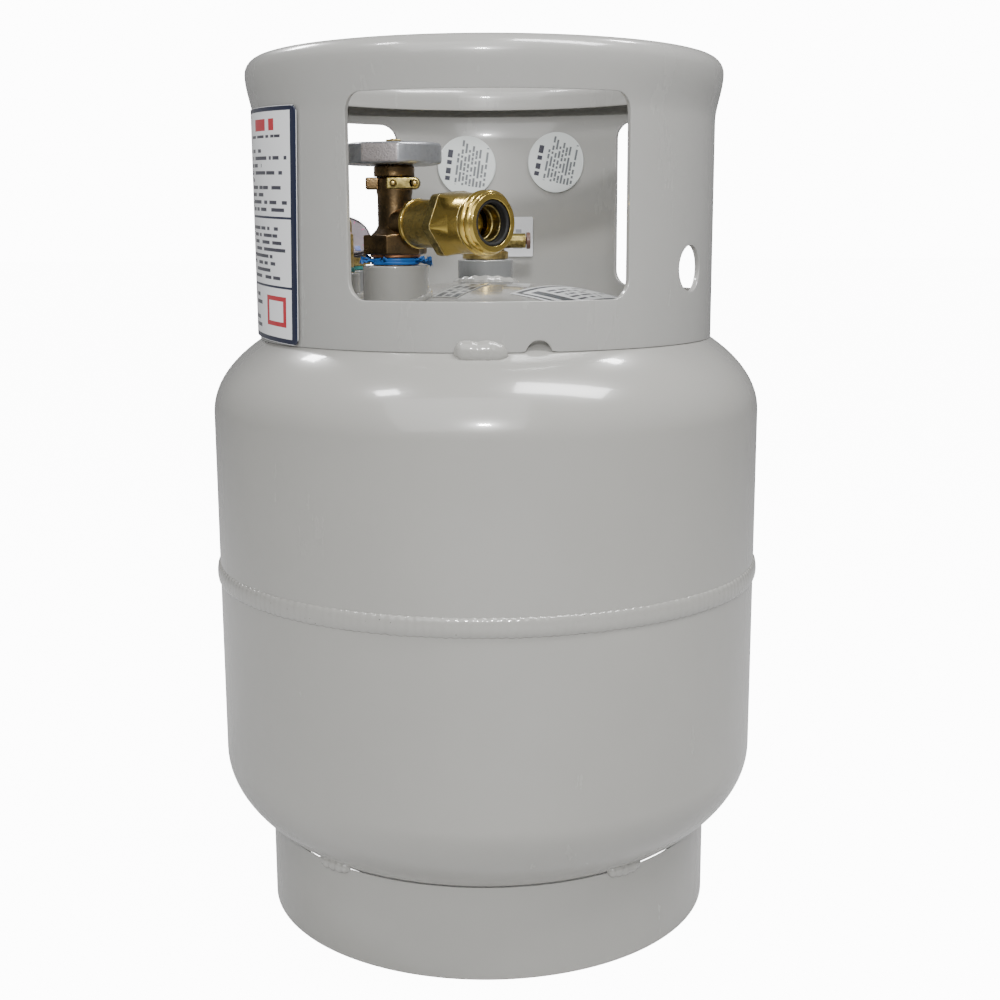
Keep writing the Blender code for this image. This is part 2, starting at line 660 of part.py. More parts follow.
def make_relief_valve():
    """Spring-loaded relief valve with a side outlet that a push-on cap keeps dry."""
    x, y = RELIEF_BOSS[1:3]
    profile = [(0.0, 403.0), (10.6, 403.0), (11.6, 401.6), (11.6, 378.4), (14.0, 377.6), (14.0, 373.4)]
    profile += [(11.9, 373.3), (11.9, 350.0), (0.0, 350.0)]
    body = move(turned("relief_body", profile, BRASS), x, y)
    arm = point_out(rod("relief_arm", 4.4, 6.0, 24.6), 90.0, RELIEF_OUTLET_LEVEL, (x, y))
    fuse(body, arm)
    bore = [(0.0, 410.0), (7.6, 410.0), (7.6, 376.0), (5.0, 376.0), (5.0, 340.0), (0.0, 340.0)]
    channel = point_out(rod("relief_channel", 2.6, 5.0, 40.0, steps=12), 90.0, RELIEF_OUTLET_LEVEL, (x, y))
    cut(body, move(turned("relief_bore", bore), x, y), channel)
    poppet = [(0.0, 392.0), (1.6, 392.0), (1.6, 380.2), (6.6, 380.0), (6.6, 376.0 + GAP), (0.0, 376.0 + GAP)]
    relief_axis = axis_empty("relief_axis", (x, y, 0.0))
    disc = turned("relief_poppet", poppet, BRASS)
    spring = coil("relief_spring", 4.4, 0.6, 380.4, 396.4, 4.0, SPRING_STEEL)
    adjuster = tube("relief_adjuster", 2.0, 7.2, 396.8, 401.8, BRASS)
    carry(relief_axis, disc, spring, adjuster)
    cap = [(0.0, 27.4), (4.6, 27.4), (5.0, 26.8), (5.0, 25.0), (2.2, 25.0), (2.2, 20.0), (0.0, 20.0)]
    point_out(turned("relief_cap", cap, CAP_BROWN), 90.0, RELIEF_OUTLET_LEVEL, (x, y))


# ------------------------------------------------------------------------------------- level vent


def make_level_vent():
    """Fixed liquid level vent: a small brass body, its bleed screw and its tube."""
    x, y = VENT_BOSS[1:3]
    top = VENT_BOSS[6]
    profile = [(0.0, 389.0), (5.2, 389.0), (6.0, 388.2), (6.0, 371.0), (5.2, top + 1.0), (5.2, 352.0)]
    profile += [(0.0, 352.0)]
    body = move(turned("vent_body", profile, BRASS), x, y)
    bore = [(0.0, 400.0), (3.2, 400.0), (3.2, 380.0), (1.4, 378.0), (1.4, 366.0), (3.4, 365.0), (3.4, 340.0)]
    bore += [(0.0, 340.0)]
    bleed = point_out(rod("vent_port", 1.0, 2.0, 12.0, steps=12), 0.0, 383.0, (x, y))
    cut(body, move(turned("vent_bore", bore), x, y), bleed)
    screw = [(0.0, 396.6), (4.6, 396.6), (5.2, 396.0), (5.2, 389.4), (2.9, 389.4), (2.9, 380.6)]
    screw += [(1.2, 379.0), (0.0, 379.0)]
    vent_axis = axis_empty("vent_axis", (x, y, 0.0))
    knob = turned("vent_screw", screw, BRASS)
    slot = block("screw_slot", (12.0, 1.2, 3.0), (0.0, 0.0, 397.0))
    cut(knob, slot)
    carry(vent_axis, knob, slot)
    move(tube("vent_tube", 2.2, 3.1, 300.0, 364.6, BARE_STEEL, steps=12), x, y)


# ------------------------------------------------------------------------------------ float gauge


def make_gauge():
    """Magnetic float gauge: body, tube, shaft, arm with float below; dial, pointer and lens above."""
    x, y = GAUGE_BOSS[1:3]
    top = GAUGE_BOSS[6]
    profile = [(0.0, 381.5), (6.0, 381.5), (6.0, 375.6), (12.6, 375.4), (12.6, top + 0.9)]
    profile += [(11.9, top + 0.8), (11.9, 346.0), (0.0, 346.0)]
    body = move(turned("gauge_body", profile, BRASS), x, y)
    nut = move(hexagon("gauge_hexagon", 27.6, 371.0, 376.0, turn=20.0), x, y)
    facing = Vector(GAUGE_HEAD_FACING).normalized()
    turn = facing.to_track_quat("Z", "Y").to_euler()
    head_axis = axis_empty("gauge_head_axis", GAUGE_HEAD_BASE, turn)
    drum = rod("gauge_drum", 14.2, 2.0, 8.6)
    neck = rod("gauge_neck", 6.0, -1.0, 3.0)
    carry(head_axis, drum, neck)
    fuse(body, nut, drum, neck)
    cavity = move(rod("magnet_well", 3.6, 340.0, 374.0), x, y)
    cut(body, cavity)
    dial = tube("gauge_dial", 0.9, 13.2, 8.6 + GAP, 9.6, DIAL)
    needle = block("gauge_pointer", (1.6, 12.0, 0.5), (0.0, 4.0, 10.35), NEEDLE)
    hub = rod("pointer_hub", 1.8, 10.1, 10.6, steps=12)
    fuse(needle, hub)
    rim = [(0.0, 13.0), (11.0, 13.0), (14.2, 11.6), (14.2, 8.6 + GAP), (13.5, 8.6 + GAP), (13.5, 11.2)]
    rim += [(10.8, 12.3), (0.0, 12.3)]
    lens = turned("gauge_lens", rim, CLEAR)
    carry(head_axis, dial, needle, hub, lens)
    for number, offset in enumerate((-17.3, 17.3), 1):
        lug = rod(f"gauge_lug_{number}", 2.6, 2.5, 6.6)
        move(lug, offset, 0.0)
        web = block(f"gauge_web_{number}", (5.0, 4.0, 3.2), (offset * 0.86, 0.0, 4.5))
        carry(head_axis, lug, web)
        fuse(body, lug, web)
        screw = hexagon(f"gauge_screw_{number}", 4.6, 6.6 + GAP, 10.4, material=BRASS)
        move(screw, offset, 0.0)
        carry(head_axis, screw)
    make_float_works(x, y)


def make_float_works(x, y):
    """Support tube, drive shaft, pivot pin, arm and float inside the vessel."""
    pivot = GAUGE_PIVOT_LEVEL
    support = tube("gauge_support_tube", 3.2, 4.6, pivot - 9.0, 345.6, BARE_STEEL)
    move(support, x, y)
    fork = block("fork_gap", (20.0, 5.0, 26.0), (x, y, pivot - 4.0))
    cheeks = block("fork_cheeks", (12.0, 11.0, 22.0), (x, y, pivot - 1.0))
    hole = rod("fork_hole", 1.5, -20.0, 20.0, steps=12)
    hole.rotation_euler = (math.radians(90.0), 0.0, 0.0)
    move(hole, x, y, pivot)
    shaft_way = move(rod("fork_shaft_way", 3.2, pivot - 40.0, pivot + 60.0), x, y)
    fuse(support, cheeks)
    cut(support, shaft_way, fork, hole)
    shaft = [(0.0, 373.0), (3.0, 373.0), (3.0, 366.0), (1.2, 366.0), (1.2, pivot + 14.0), (0.0, pivot + 14.0)]
    drive_axis = axis_empty("drive_axis", (x, y, 0.0))
    carry(drive_axis, turned("gauge_drive_shaft", shaft, BARE_STEEL, steps=12))
    pin = rod("gauge_pivot_pin", 1.2, -6.5, 6.5, BARE_STEEL, steps=12)
    pin.rotation_euler = (math.radians(90.0), 0.0, 0.0)
    move(pin, x, y, pivot)
    dip = math.radians(FLOAT_REST_DIP)
    float_axis = axis_empty("float_axis", (x, y, pivot), (0.0, dip, 0.0))
    arm = block("gauge_float_arm", (FLOAT_ARM_LENGTH - 8.0, 3.0, 3.0), (FLOAT_ARM_LENGTH / 2.0, 0.0, 0.0),
                BARE_STEEL)
    knuckle = rod("arm_knuckle", 6.0, -2.0, 2.0)
    knuckle.rotation_euler = (math.radians(90.0), 0.0, 0.0)
    eye = rod("arm_eye", 1.5, -5.0, 5.0, steps=12)
    eye.rotation_euler = (math.radians(90.0), 0.0, 0.0)
    fuse(arm, knuckle)
    cut(arm, eye)
    ball = [(0.0, 24.0)] + arc((9.0, 19.0), 5.0, 90.0, 0.0, 3) + arc((9.0, -19.0), 5.0, 0.0, -90.0, 3)
    ball += [(0.0, -24.0)]
    bob = turned("gauge_float", ball, RUBBER)
    bob.rotation_euler = (math.radians(90.0), 0.0, 0.0)
    move(bob, FLOAT_ARM_LENGTH + 10.6, 0.0, 0.0)
    carry(float_axis, arm, knuckle, eye, bob)


# ----------------------------------------------------------------------------------------- labels


def draped_patch(name, centre, size, turn, material):
    """Flat label draped on the upper head, seen from above as a rectangle."""
    mesh = bpy.data.meshes.new(name)
    shape = bmesh.new()
    bmesh.ops.create_grid(shape, x_segments=7, y_segments=4, size=0.5)
    angle = math.radians(turn)
    for vert in shape.verts:
        along = vert.co.x * size[0]
        across = vert.co.y * size[1]
        x = centre[0] + along * math.cos(angle) - across * math.sin(angle)
        y = centre[1] + along * math.sin(angle) + across * math.cos(angle)
        vert.co = Vector((x, y, upper_head(math.hypot(x, y)) + 0.45)) * MM
    shape.to_mesh(mesh)
    shape.free()
    thing = place(mesh, name, material)
    solid = thing.modifiers.new("wall", "SOLIDIFY")
    solid.thickness = 0.3 * MM
    solid.offset = 0.0
    return thing


def make_labels():
    """Blank stickers: one outside the collar, three inside it and two on the upper head."""
    outside = COLLAR_RADIUS + 1.3
    inside = COLLAR_RADIUS - COLLAR_WALL - 0.9
    wrapped_patch("data_label", outside, (-98.0, -47.6), (333.8, 454.4), 4.0, LABEL, 0.3, lean=-2.0)
    wrapped_patch("round_label_1", inside, (-183.2, -165.8), (412.6, 450.4), 18.7, LABEL, 0.3)
    wrapped_patch("round_label_2", inside, (149.7, 167.1), (414.3, 452.1), 18.7, LABEL, 0.3)
    wrapped_patch("square_label", inside, (165.6, 177.6), (373.6, 399.0), 0.8, LABEL, 0.3)
    draped_patch("dome_label_1", (47.8, -34.2), (70.0, 40.0), 60.0, LABEL)
    draped_patch("dome_label_2", (-13.0, -40.0), (44.0, 15.0), 66.0, LABEL)


make_vessel()
make_foot_ring()
make_foot_welds()
make_collar()
make_collar_welds()
make_bosses()
make_valve_body()
make_lock_pins()
make_thread_tape()
make_valve_works()
make_dip_tube()
make_coupling()
make_relief_valve()
make_level_vent()
make_gauge()
make_labels()
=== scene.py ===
"""Propane cylinder: welded vessel, foot ring, handhold collar, service valve, coupling and gauge.

Sizes are in millimetres, X to the right of the front window, -Y to the front and Z up from the floor.
Each sub-assembly is a class that builds its meshes, dresses them and names the body that they ride on.
"""

from __future__ import annotations

import logging
import math
from dataclasses import dataclass
from enum import Enum
from typing import Callable, Sequence

import bmesh
import bpy
from mathutils import Matrix, Vector, geometry, noise


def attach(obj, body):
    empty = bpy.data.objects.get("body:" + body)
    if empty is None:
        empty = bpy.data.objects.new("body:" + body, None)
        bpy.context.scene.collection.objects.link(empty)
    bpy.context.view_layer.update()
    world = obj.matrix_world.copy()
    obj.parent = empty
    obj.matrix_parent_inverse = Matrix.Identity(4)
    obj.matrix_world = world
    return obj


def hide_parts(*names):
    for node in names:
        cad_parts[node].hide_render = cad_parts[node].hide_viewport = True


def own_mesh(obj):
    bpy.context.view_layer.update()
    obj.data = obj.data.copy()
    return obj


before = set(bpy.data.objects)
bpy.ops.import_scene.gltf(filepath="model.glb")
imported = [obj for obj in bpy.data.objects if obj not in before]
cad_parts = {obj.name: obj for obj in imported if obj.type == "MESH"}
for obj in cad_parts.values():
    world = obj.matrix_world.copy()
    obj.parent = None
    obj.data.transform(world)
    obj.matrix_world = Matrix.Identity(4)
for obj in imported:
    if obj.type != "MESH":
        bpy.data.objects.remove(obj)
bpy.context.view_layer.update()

MM, METRE = 0.001, 1000.0
ORIGIN, UP = (0.0, 0.0, 0.0), (0.0, 0.0, 1.0)
LOG = logging.getLogger("cylinder")
Point = tuple[float, float]
Triple = tuple[float, float, float]
Colour = Triple
Outline = Sequence[Point]
Node, Socket, Tree = bpy.types.Node, bpy.types.NodeSocket, bpy.types.NodeTree

BODY_RADIUS = 155.0
BODY_WALL = 3.0
UPPER_TANGENT, UPPER_HEIGHT = 290.7, 70.9
LOWER_TANGENT, LOWER_HEIGHT = 94.7, 75.0
GIRTH_LEVEL = 200.1
SERVICE_VALVE, RELIEF_VALVE = (-48.0, -52.0), (0.0, 61.0)
GAUGE_PLACE, VENT_PLACE = (-82.5, 22.0), (-80.2, -8.0)
OUTLET_AROUND, OUTLET_LEVEL = 42.4, 393.8
GRIP_ANGLES, GRIP_HALF = (-15.0, 105.0, 225.0), 22.5


# ------------------------------------------------------------------------------- node graph tools


class Graph:
    """Short way to add linked nodes to one node tree."""

    def __init__(self, tree: Tree) -> None:
        """Keep the tree that nodes are added to."""
        self.tree = tree

    def add(self, kind: str, values: dict | None = None, **settings: object) -> Node:
        """Add a node.

        Args:
            kind: type of the node.
            values: what each input takes, by name or number: a socket, a node or a constant.
            settings: properties of the node itself.

        Returns:
            The new node.
        """
        node = self.tree.nodes.new(kind)
        for key, value in settings.items():
            setattr(node, key, value)
        for key, value in (values or {}).items():
            self.feed(node.inputs[key], value)
        return node

    def feed(self, socket: Socket, value: object) -> None:
        """Link a socket or a node's first output to an input, or set the input's constant."""
        if isinstance(value, Node):
            value = value.outputs[0]
        if isinstance(value, Socket):
            self.tree.links.new(value, socket)
        else:
            socket.default_value = value

    def math(self, operation: str, *values: object) -> Socket:
        """Return the result of one Math node on up to three values."""
        return self.add("ShaderNodeMath", dict(enumerate(values)), operation=operation).outputs[0]

    def vector(self, operation: str, *values: object, out: int = 0) -> Socket:
        """Return one output of a Vector Math node."""
        node = self.add("ShaderNodeVectorMath", dict(enumerate(values)), operation=operation)
        return node.outputs[out]

    def mix(self, factor: object, first: object, second: object) -> Socket:
        """Return a blend of two colours."""
        node = self.add("ShaderNodeMix", {0: factor}, data_type="RGBA")
        for number, value in ((6, first), (7, second)):
            value = (*value, 1.0) if isinstance(value, tuple) and len(value) == 3 else value
            self.feed(node.inputs[number], value)
        return node.outputs[2]

    def remap(self, value: object, low: float, high: float, to_low: float = 0.0,
              to_high: float = 1.0) -> Socket:
        """Return a value carried smoothly from one range to another and held at its ends."""
        inputs = {0: value, 1: low, 2: high, 3: to_low, 4: to_high}
        return self.add("ShaderNodeMapRange", inputs, interpolation_type="SMOOTHSTEP").outputs[0]

    def pitch(self, size: object) -> Socket:
        """Return a texture's scale, given the size of its grains in millimetres."""
        return self.math("DIVIDE", METRE, size)

    def grain(self, vector: object, scale: object, detail: float = 2.0,
              rough: float = 0.5) -> Socket:
        """Return fractal noise between 0 and 1."""
        values = {"Vector": vector, "Scale": scale, "Detail": detail, "Roughness": rough}
        return self.add("ShaderNodeTexNoise", values).outputs["Fac"]


def new_group(name: str, inputs: dict[str, object], outputs: dict[str, str],
              kind: str = "ShaderNodeTree") -> tuple[Graph, dict, dict]:
    """Start a node group with named inputs and outputs.

    Args:
        name: name of the group.
        inputs: default of each input: a float, an int, a 3-vector, a 4-colour, "geometry" or "material".
        outputs: socket type of each output, such as "Float" or "Color".
        kind: type of the tree.

    Returns:
        The group's graph, its input sockets by name, and its output sockets by name.
    """
    tree = bpy.data.node_groups.new(name, kind)
    for label, default in inputs.items():
        if isinstance(default, str):
            tree.interface.new_socket(label, in_out="INPUT", socket_type="NodeSocket" + default)
            continue
        if isinstance(default, tuple):
            style = "NodeSocketColor" if len(default) == 4 else "NodeSocketVector"
        else:
            style = "NodeSocketInt" if isinstance(default, int) else "NodeSocketFloat"
        tree.interface.new_socket(label, in_out="INPUT", socket_type=style).default_value = default
    for label, style in outputs.items():
        tree.interface.new_socket(label, in_out="OUTPUT", socket_type="NodeSocket" + style)
    graph = Graph(tree)
    enter = graph.add("NodeGroupInput")
    leave = graph.add("NodeGroupOutput")
    return graph, enter.outputs, leave.inputs


class Effects:
    """Shader groups that several finishes share, each built once."""

    def __init__(self) -> None:
        """Build every group."""
        self.peel = self.build_peel()
        self.specks = self.build_specks()
        self.tarnish = self.build_tarnish()
        self.edges = self.build_edges()
        self.turning = self.build_turning()
        self.casting = self.build_casting()
        self.panel = self.build_panel()
        self.lines = self.build_lines()

    @staticmethod
    def use(graph: Graph, group: Tree, **values: object) -> Node:
        """Place a group in a graph; an input's name is written with _ for a space."""
        node = graph.add("ShaderNodeGroup", node_tree=group)
        for key, value in values.items():
            graph.feed(node.inputs[key.replace("_", " ")], value)
        return node

    @staticmethod
    def build_peel() -> Tree:
        """Orange peel of a sprayed coat over the slow waves of pressed sheet, in millimetres."""
        inputs = {"Position": ORIGIN, "Peel Size": 2.4, "Peel Height": 0.01, "Wave Size": 45.0,
                  "Wave Height": 0.1}
        graph, into, out = new_group("orange_peel", inputs, {"Height": "Float"})
        fine = graph.grain(into["Position"], graph.pitch(into["Peel Size"]), 1.5)
        slow = graph.grain(into["Position"], graph.pitch(into["Wave Size"]), 0.0)
        fine = graph.math("MULTIPLY", fine, into["Peel Height"])
        graph.feed(out["Height"], graph.math("MULTIPLY_ADD", slow, into["Wave Height"], fine))
        return graph.tree

    @staticmethod
    def build_specks() -> Tree:
        """Scattered dust specks and faint rubs."""
        inputs = {"Position": ORIGIN, "Size": 1.4, "Share": 0.5, "Rub Size": 26.0}
        graph, into, out = new_group("specks_and_rubs", inputs, {"Specks": "Float", "Rubs": "Float"})
        cells = graph.add("ShaderNodeTexVoronoi", {"Vector": into["Position"]}, feature="F1")
        graph.feed(cells.inputs["Scale"], graph.pitch(into["Size"]))
        lucky = graph.add("ShaderNodeSeparateColor", {0: cells.outputs["Color"]}).outputs[0]
        chosen = graph.math("LESS_THAN", lucky, graph.math("MULTIPLY", into["Share"], 0.05))
        dot = graph.math("LESS_THAN", cells.outputs["Distance"], graph.math("MULTIPLY", lucky, 4.0))
        graph.feed(out["Specks"], graph.math("MULTIPLY", chosen, dot))
        long = graph.vector("MULTIPLY", into["Position"], (1.0, 1.0, 0.25))
        rubs = graph.grain(long, graph.pitch(into["Rub Size"]), 6.0, 0.62)
        graph.feed(out["Rubs"], graph.remap(rubs, 0.52, 0.78))
        return graph.tree

    @staticmethod
    def build_tarnish() -> Tree:
        """Blotches where a metal has dulled."""
        inputs = {"Position": ORIGIN, "Size": 6.0, "Share": 0.5, "Clean": (0.8, 0.6, 0.3, 1.0),
                  "Dull": (0.3, 0.2, 0.1, 1.0)}
        graph, into, out = new_group("tarnish", inputs, {"Color": "Color", "Mask": "Float"})
        blotch = graph.grain(into["Position"], graph.pitch(into["Size"]), 5.0, 0.65)
        shifted = graph.math("ADD", blotch, graph.math("SUBTRACT", into["Share"], 0.5))
        mask = graph.remap(shifted, 0.36, 0.66)
        graph.feed(out["Mask"], mask)
        graph.feed(out["Color"], graph.mix(mask, into["Clean"], into["Dull"]))
        return graph.tree

    @staticmethod
    def build_edges() -> Tree:
        """Edges rubbed bright by handling, broken up by noise."""
        inputs = {"Position": ORIGIN, "Radius": 0.0006, "Break Up": 3.0}
        graph, into, out = new_group("edge_wear", inputs, {"Mask": "Float"})
        soft = graph.add("ShaderNodeBevel", {"Radius": into["Radius"]}, samples=4)
        plain = graph.add("ShaderNodeNewGeometry").outputs["Normal"]
        away = graph.math("SUBTRACT", 1.0, graph.vector("DOT_PRODUCT", soft, plain, out=1))
        near = graph.remap(away, 0.01, 0.12)
        patchy = graph.grain(into["Position"], graph.pitch(into["Break Up"]), 3.0)
        graph.feed(out["Mask"], graph.math("MULTIPLY", near, graph.remap(patchy, 0.35, 0.6)))
        return graph.tree

    @staticmethod
    def build_turning() -> Tree:
        """Fine rings that a lathe tool leaves round an axis."""
        inputs = {"Position": ORIGIN, "Origin": ORIGIN, "Axis": UP,
                  "Pitch": 0.35}
        graph, into, out = new_group("turning_marks", inputs, {"Height": "Float"})
        offset = graph.vector("SUBTRACT", into["Position"], into["Origin"])
        along = graph.vector("DOT_PRODUCT", offset, into["Axis"], out=1)
        scaled = graph.add("ShaderNodeVectorMath", {0: into["Axis"], "Scale": along}, operation="SCALE")
        radial = graph.vector("LENGTH", graph.vector("SUBTRACT", offset, scaled), out=1)
        run = graph.math("ADD", along, radial)
        steps = graph.math("DIVIDE", graph.math("MULTIPLY", run, METRE), into["Pitch"])
        rings = graph.add("ShaderNodeTexNoise", {"W": steps, "Scale": 1.0, "Detail": 2.0},
                          noise_dimensions="1D")
        graph.feed(out["Height"], rings.outputs[0])
        return graph.tree

    @staticmethod
    def build_casting() -> Tree:
        """Pimples and pits of a cast or stamped surface."""
        inputs = {"Position": ORIGIN, "Size": 1.0}
        graph, into, out = new_group("cast_grain", inputs, {"Height": "Float"})
        scale = graph.pitch(into["Size"])
        cells = graph.add("ShaderNodeTexVoronoi", {"Vector": into["Position"]}, feature="SMOOTH_F1")
        graph.feed(cells.inputs["Scale"], scale)
        rough = graph.grain(into["Position"], scale, 4.0, 0.6)
        graph.feed(out["Height"], graph.math("MULTIPLY_ADD", rough, 0.7, cells.outputs["Distance"]))
        return graph.tree

    @staticmethod
    def build_panel() -> Tree:
        """Rectangle on a sticker, in shares of its width and height."""
        inputs = {"UV": ORIGIN, "Left": 0.0, "Right": 1.0, "Low": 0.0, "High": 1.0}
        graph, into, out = new_group("printed_panel", inputs, {"Mask": "Float"})
        split = graph.add("ShaderNodeSeparateXYZ", {0: into["UV"]})
        tests = [graph.math("GREATER_THAN", split.outputs[0], into["Left"]),
                 graph.math("LESS_THAN", split.outputs[0], into["Right"]),
                 graph.math("GREATER_THAN", split.outputs[1], into["Low"]),
                 graph.math("LESS_THAN", split.outputs[1], into["High"])]
        both = [graph.math("MULTIPLY", tests[0], tests[1]), graph.math("MULTIPLY", tests[2], tests[3])]
        graph.feed(out["Mask"], graph.math("MULTIPLY", both[0], both[1]))
        return graph.tree

    def build_lines(self) -> Tree:
        """Rows of plain dashes that stand for small print."""
        inputs = {"UV": ORIGIN, "Left": 0.1, "Right": 0.9, "Low": 0.1, "High": 0.9, "Rows": 8.0,
                  "Dash": 9.0, "Weight": 0.45, "Seed": 0.0}
        graph, into, out = new_group("printed_dashes", inputs, {"Mask": "Float"})
        split = graph.add("ShaderNodeSeparateXYZ", {0: into["UV"]})
        height = graph.math("SUBTRACT", into["High"], into["Low"])
        climb = graph.math("DIVIDE", graph.math("SUBTRACT", split.outputs[1], into["Low"]), height)
        place = graph.math("MULTIPLY", climb, into["Rows"])
        row = graph.math("ADD", graph.math("FLOOR", place), into["Seed"])
        band = graph.math("LESS_THAN", graph.math("FRACT", place), into["Weight"])
        dice = graph.add("ShaderNodeTexWhiteNoise", {"W": row}, noise_dimensions="1D").outputs["Value"]
        run = graph.math("MULTIPLY_ADD", split.outputs[0], into["Dash"],
                         graph.math("MULTIPLY", row, 7.3))
        word = graph.add("ShaderNodeTexNoise", {"W": run, "Scale": 1.0, "Detail": 1.0},
                         noise_dimensions="1D").outputs[0]
        ink = graph.math("GREATER_THAN", word, 0.43)
        width = graph.math("SUBTRACT", into["Right"], into["Left"])
        short = graph.math("MULTIPLY", graph.math("MULTIPLY", graph.math("POWER", dice, 3.0), 0.6),
                           width)
        panel = Effects.use(graph, self.panel, UV=into["UV"], Left=into["Left"], Low=into["Low"],
                            High=into["High"], Right=graph.math("SUBTRACT", into["Right"], short))
        dashes = graph.math("MULTIPLY", band, ink)
        graph.feed(out["Mask"], graph.math("MULTIPLY", dashes, panel))
        return graph.tree


EFFECTS = Effects()


# --------------------------------------------------------------------------------------- finishes


@dataclass(frozen=True)
class Finish:
    """Plain smooth surface, and the base of every other finish."""

    name: str
    colour: Colour
    roughness: float = 0.5

    def material(self) -> bpy.types.Material:
        """Return the finish's material, built at its first use."""
        name = self.name + "_finish"
        found = bpy.data.materials.get(name)
        if found:
            return found
        made = bpy.data.materials.new(name)
        made.use_nodes = True
        shader = made.node_tree.nodes["Principled BSDF"]
        shader.inputs["Base Color"].default_value = (*self.colour, 1.0)
        shader.inputs["Roughness"].default_value = self.roughness
        graph = Graph(made.node_tree)
        self.paint(graph, shader, graph.add("ShaderNodeTexCoord"))
        return made

    def paint(self, graph: Graph, shader: Node, where: Node) -> None:
        """Feed the shader; this one gives slight changes of shade and a fine moulded grain."""
        spot = where.outputs["Object"]
        shade = graph.grain(spot, 180.0, 4.0)
        graph.feed(shader.inputs["Base Color"], graph.mix(shade, self.colour, self.shade(0.78)))
        uneven = graph.remap(shade, 0.3, 0.7, self.roughness * 0.85, min(1.0, self.roughness * 1.15))
        graph.feed(shader.inputs["Roughness"], uneven)
        self.bump(graph, shader, graph.grain(spot, 1500.0, 2.0), 0.02)

    def shade(self, share: float) -> Colour:
        """Return the colour made darker or lighter by a share."""
        return tuple(min(1.0, share * part) for part in self.colour)

    @staticmethod
    def bump(graph: Graph, shader: Node, height: object, millimetres: float) -> None:
        """Raise the surface by a height field, given the height of its full range."""
        values = {"Height": height, "Distance": millimetres * MM, "Strength": 1.0}
        graph.feed(shader.inputs["Normal"], graph.add("ShaderNodeBump", values))


@dataclass(frozen=True)
class Enamel(Finish):
    """Sprayed glossy coat with orange peel, faint dust and rubs."""

    peel: float = 0.012
    wave: float = 0.12
    specks: float = 0.4
    coat: float = 0.8

    def paint(self, graph: Graph, shader: Node, where: Node) -> None:
        """Feed the shader with an uneven glossy coat."""
        spot = where.outputs["Object"]
        dust = EFFECTS.use(graph, EFFECTS.specks, Position=spot, Share=self.specks)
        drift = graph.grain(spot, 14.0, 3.0)
        base = graph.mix(drift, self.shade(0.95), self.shade(1.05))
        dusty = graph.mix(dust.outputs["Specks"], base, self.shade(0.35))
        graph.feed(shader.inputs["Base Color"], dusty)
        rubbed = graph.math("MULTIPLY_ADD", dust.outputs["Rubs"], 0.05, self.roughness)
        graph.feed(shader.inputs["Roughness"], rubbed)
        shader.inputs["Coat Weight"].default_value = self.coat
        shader.inputs["Coat Roughness"].default_value = 0.07
        height = EFFECTS.use(graph, EFFECTS.peel, Position=spot, Peel_Height=self.peel,
                             Wave_Height=self.wave)
        self.bump(graph, shader, height, 1.0)


@dataclass(frozen=True)
class Metal(Finish):
    """Bare metal with tarnish, rubbed edges, grain and lathe rings."""

    dull: Colour = (0.2, 0.14, 0.06)
    edge: Colour = (0.9, 0.75, 0.4)
    share: float = 0.4
    blotch: float = 5.0
    grain: float = 0.02
    grain_size: float = 1.2
    rings: float = 0.0
    origin: Triple = ORIGIN
    axis: Triple = UP

    def paint(self, graph: Graph, shader: Node, where: Node) -> None:
        """Feed the shader with a worn metal."""
        spot = where.outputs["Object"]
        shader.inputs["Metallic"].default_value = 1.0
        stain = EFFECTS.use(graph, EFFECTS.tarnish, Position=spot, Size=self.blotch, Share=self.share,
                            Clean=(*self.colour, 1.0), Dull=(*self.dull, 1.0))
        worn = EFFECTS.use(graph, EFFECTS.edges, Position=spot)
        graph.feed(shader.inputs["Base Color"], graph.mix(worn, stain.outputs["Color"], self.edge))
        rough = graph.math("MULTIPLY_ADD", stain.outputs["Mask"], 0.18, self.roughness)
        graph.feed(shader.inputs["Roughness"], graph.math("MULTIPLY_ADD", worn, -0.1, rough))
        cast = EFFECTS.use(graph, EFFECTS.casting, Position=spot, Size=self.grain_size)
        height = graph.math("MULTIPLY", cast, self.grain)
        if self.rings:
            marks = EFFECTS.use(graph, EFFECTS.turning, Position=spot,
                                Origin=tuple(part * MM for part in self.origin), Axis=self.axis)
            height = graph.math("MULTIPLY_ADD", marks, self.rings, height)
        self.bump(graph, shader, height, 1.0)


@dataclass(frozen=True)
class Stippled(Finish):
    """Cast surface left rough, such as the flat grips of the handwheel."""

    spots: Colour = (0.5, 0.45, 0.45)
    height: float = 0.12
    size: float = 1.1
    metallic: float = 0.7

    def paint(self, graph: Graph, shader: Node, where: Node) -> None:
        """Feed the shader with pimples in two shades."""
        spot = where.outputs["Object"]
        shader.inputs["Metallic"].default_value = self.metallic
        cast = EFFECTS.use(graph, EFFECTS.casting, Position=spot, Size=self.size)
        top = graph.remap(cast, 0.45, 0.85)
        graph.feed(shader.inputs["Base Color"], graph.mix(top, self.colour, self.spots))
        graph.feed(shader.inputs["Roughness"], graph.remap(cast, 0.3, 0.9, self.roughness + 0.1,
                                                            self.roughness - 0.08))
        self.bump(graph, shader, cast, self.height)


@dataclass(frozen=True)
class Clear(Finish):
    """Clear moulded plastic, thin enough to show what lies behind it."""

    cover: float = 0.04

    def paint(self, graph: Graph, shader: Node, where: Node) -> None:
        """Feed the shader with faint scratches over a clear body."""
        spot = where.outputs["Object"]
        shader.inputs["Alpha"].default_value = self.cover
        dust = EFFECTS.use(graph, EFFECTS.specks, Position=spot, Share=0.6, Rub_Size=5.0)
        haze = graph.math("MULTIPLY_ADD", dust.outputs["Rubs"], 0.12, self.roughness)
        graph.feed(shader.inputs["Roughness"], haze)
        self.bump(graph, shader, graph.grain(spot, 900.0), 0.004)


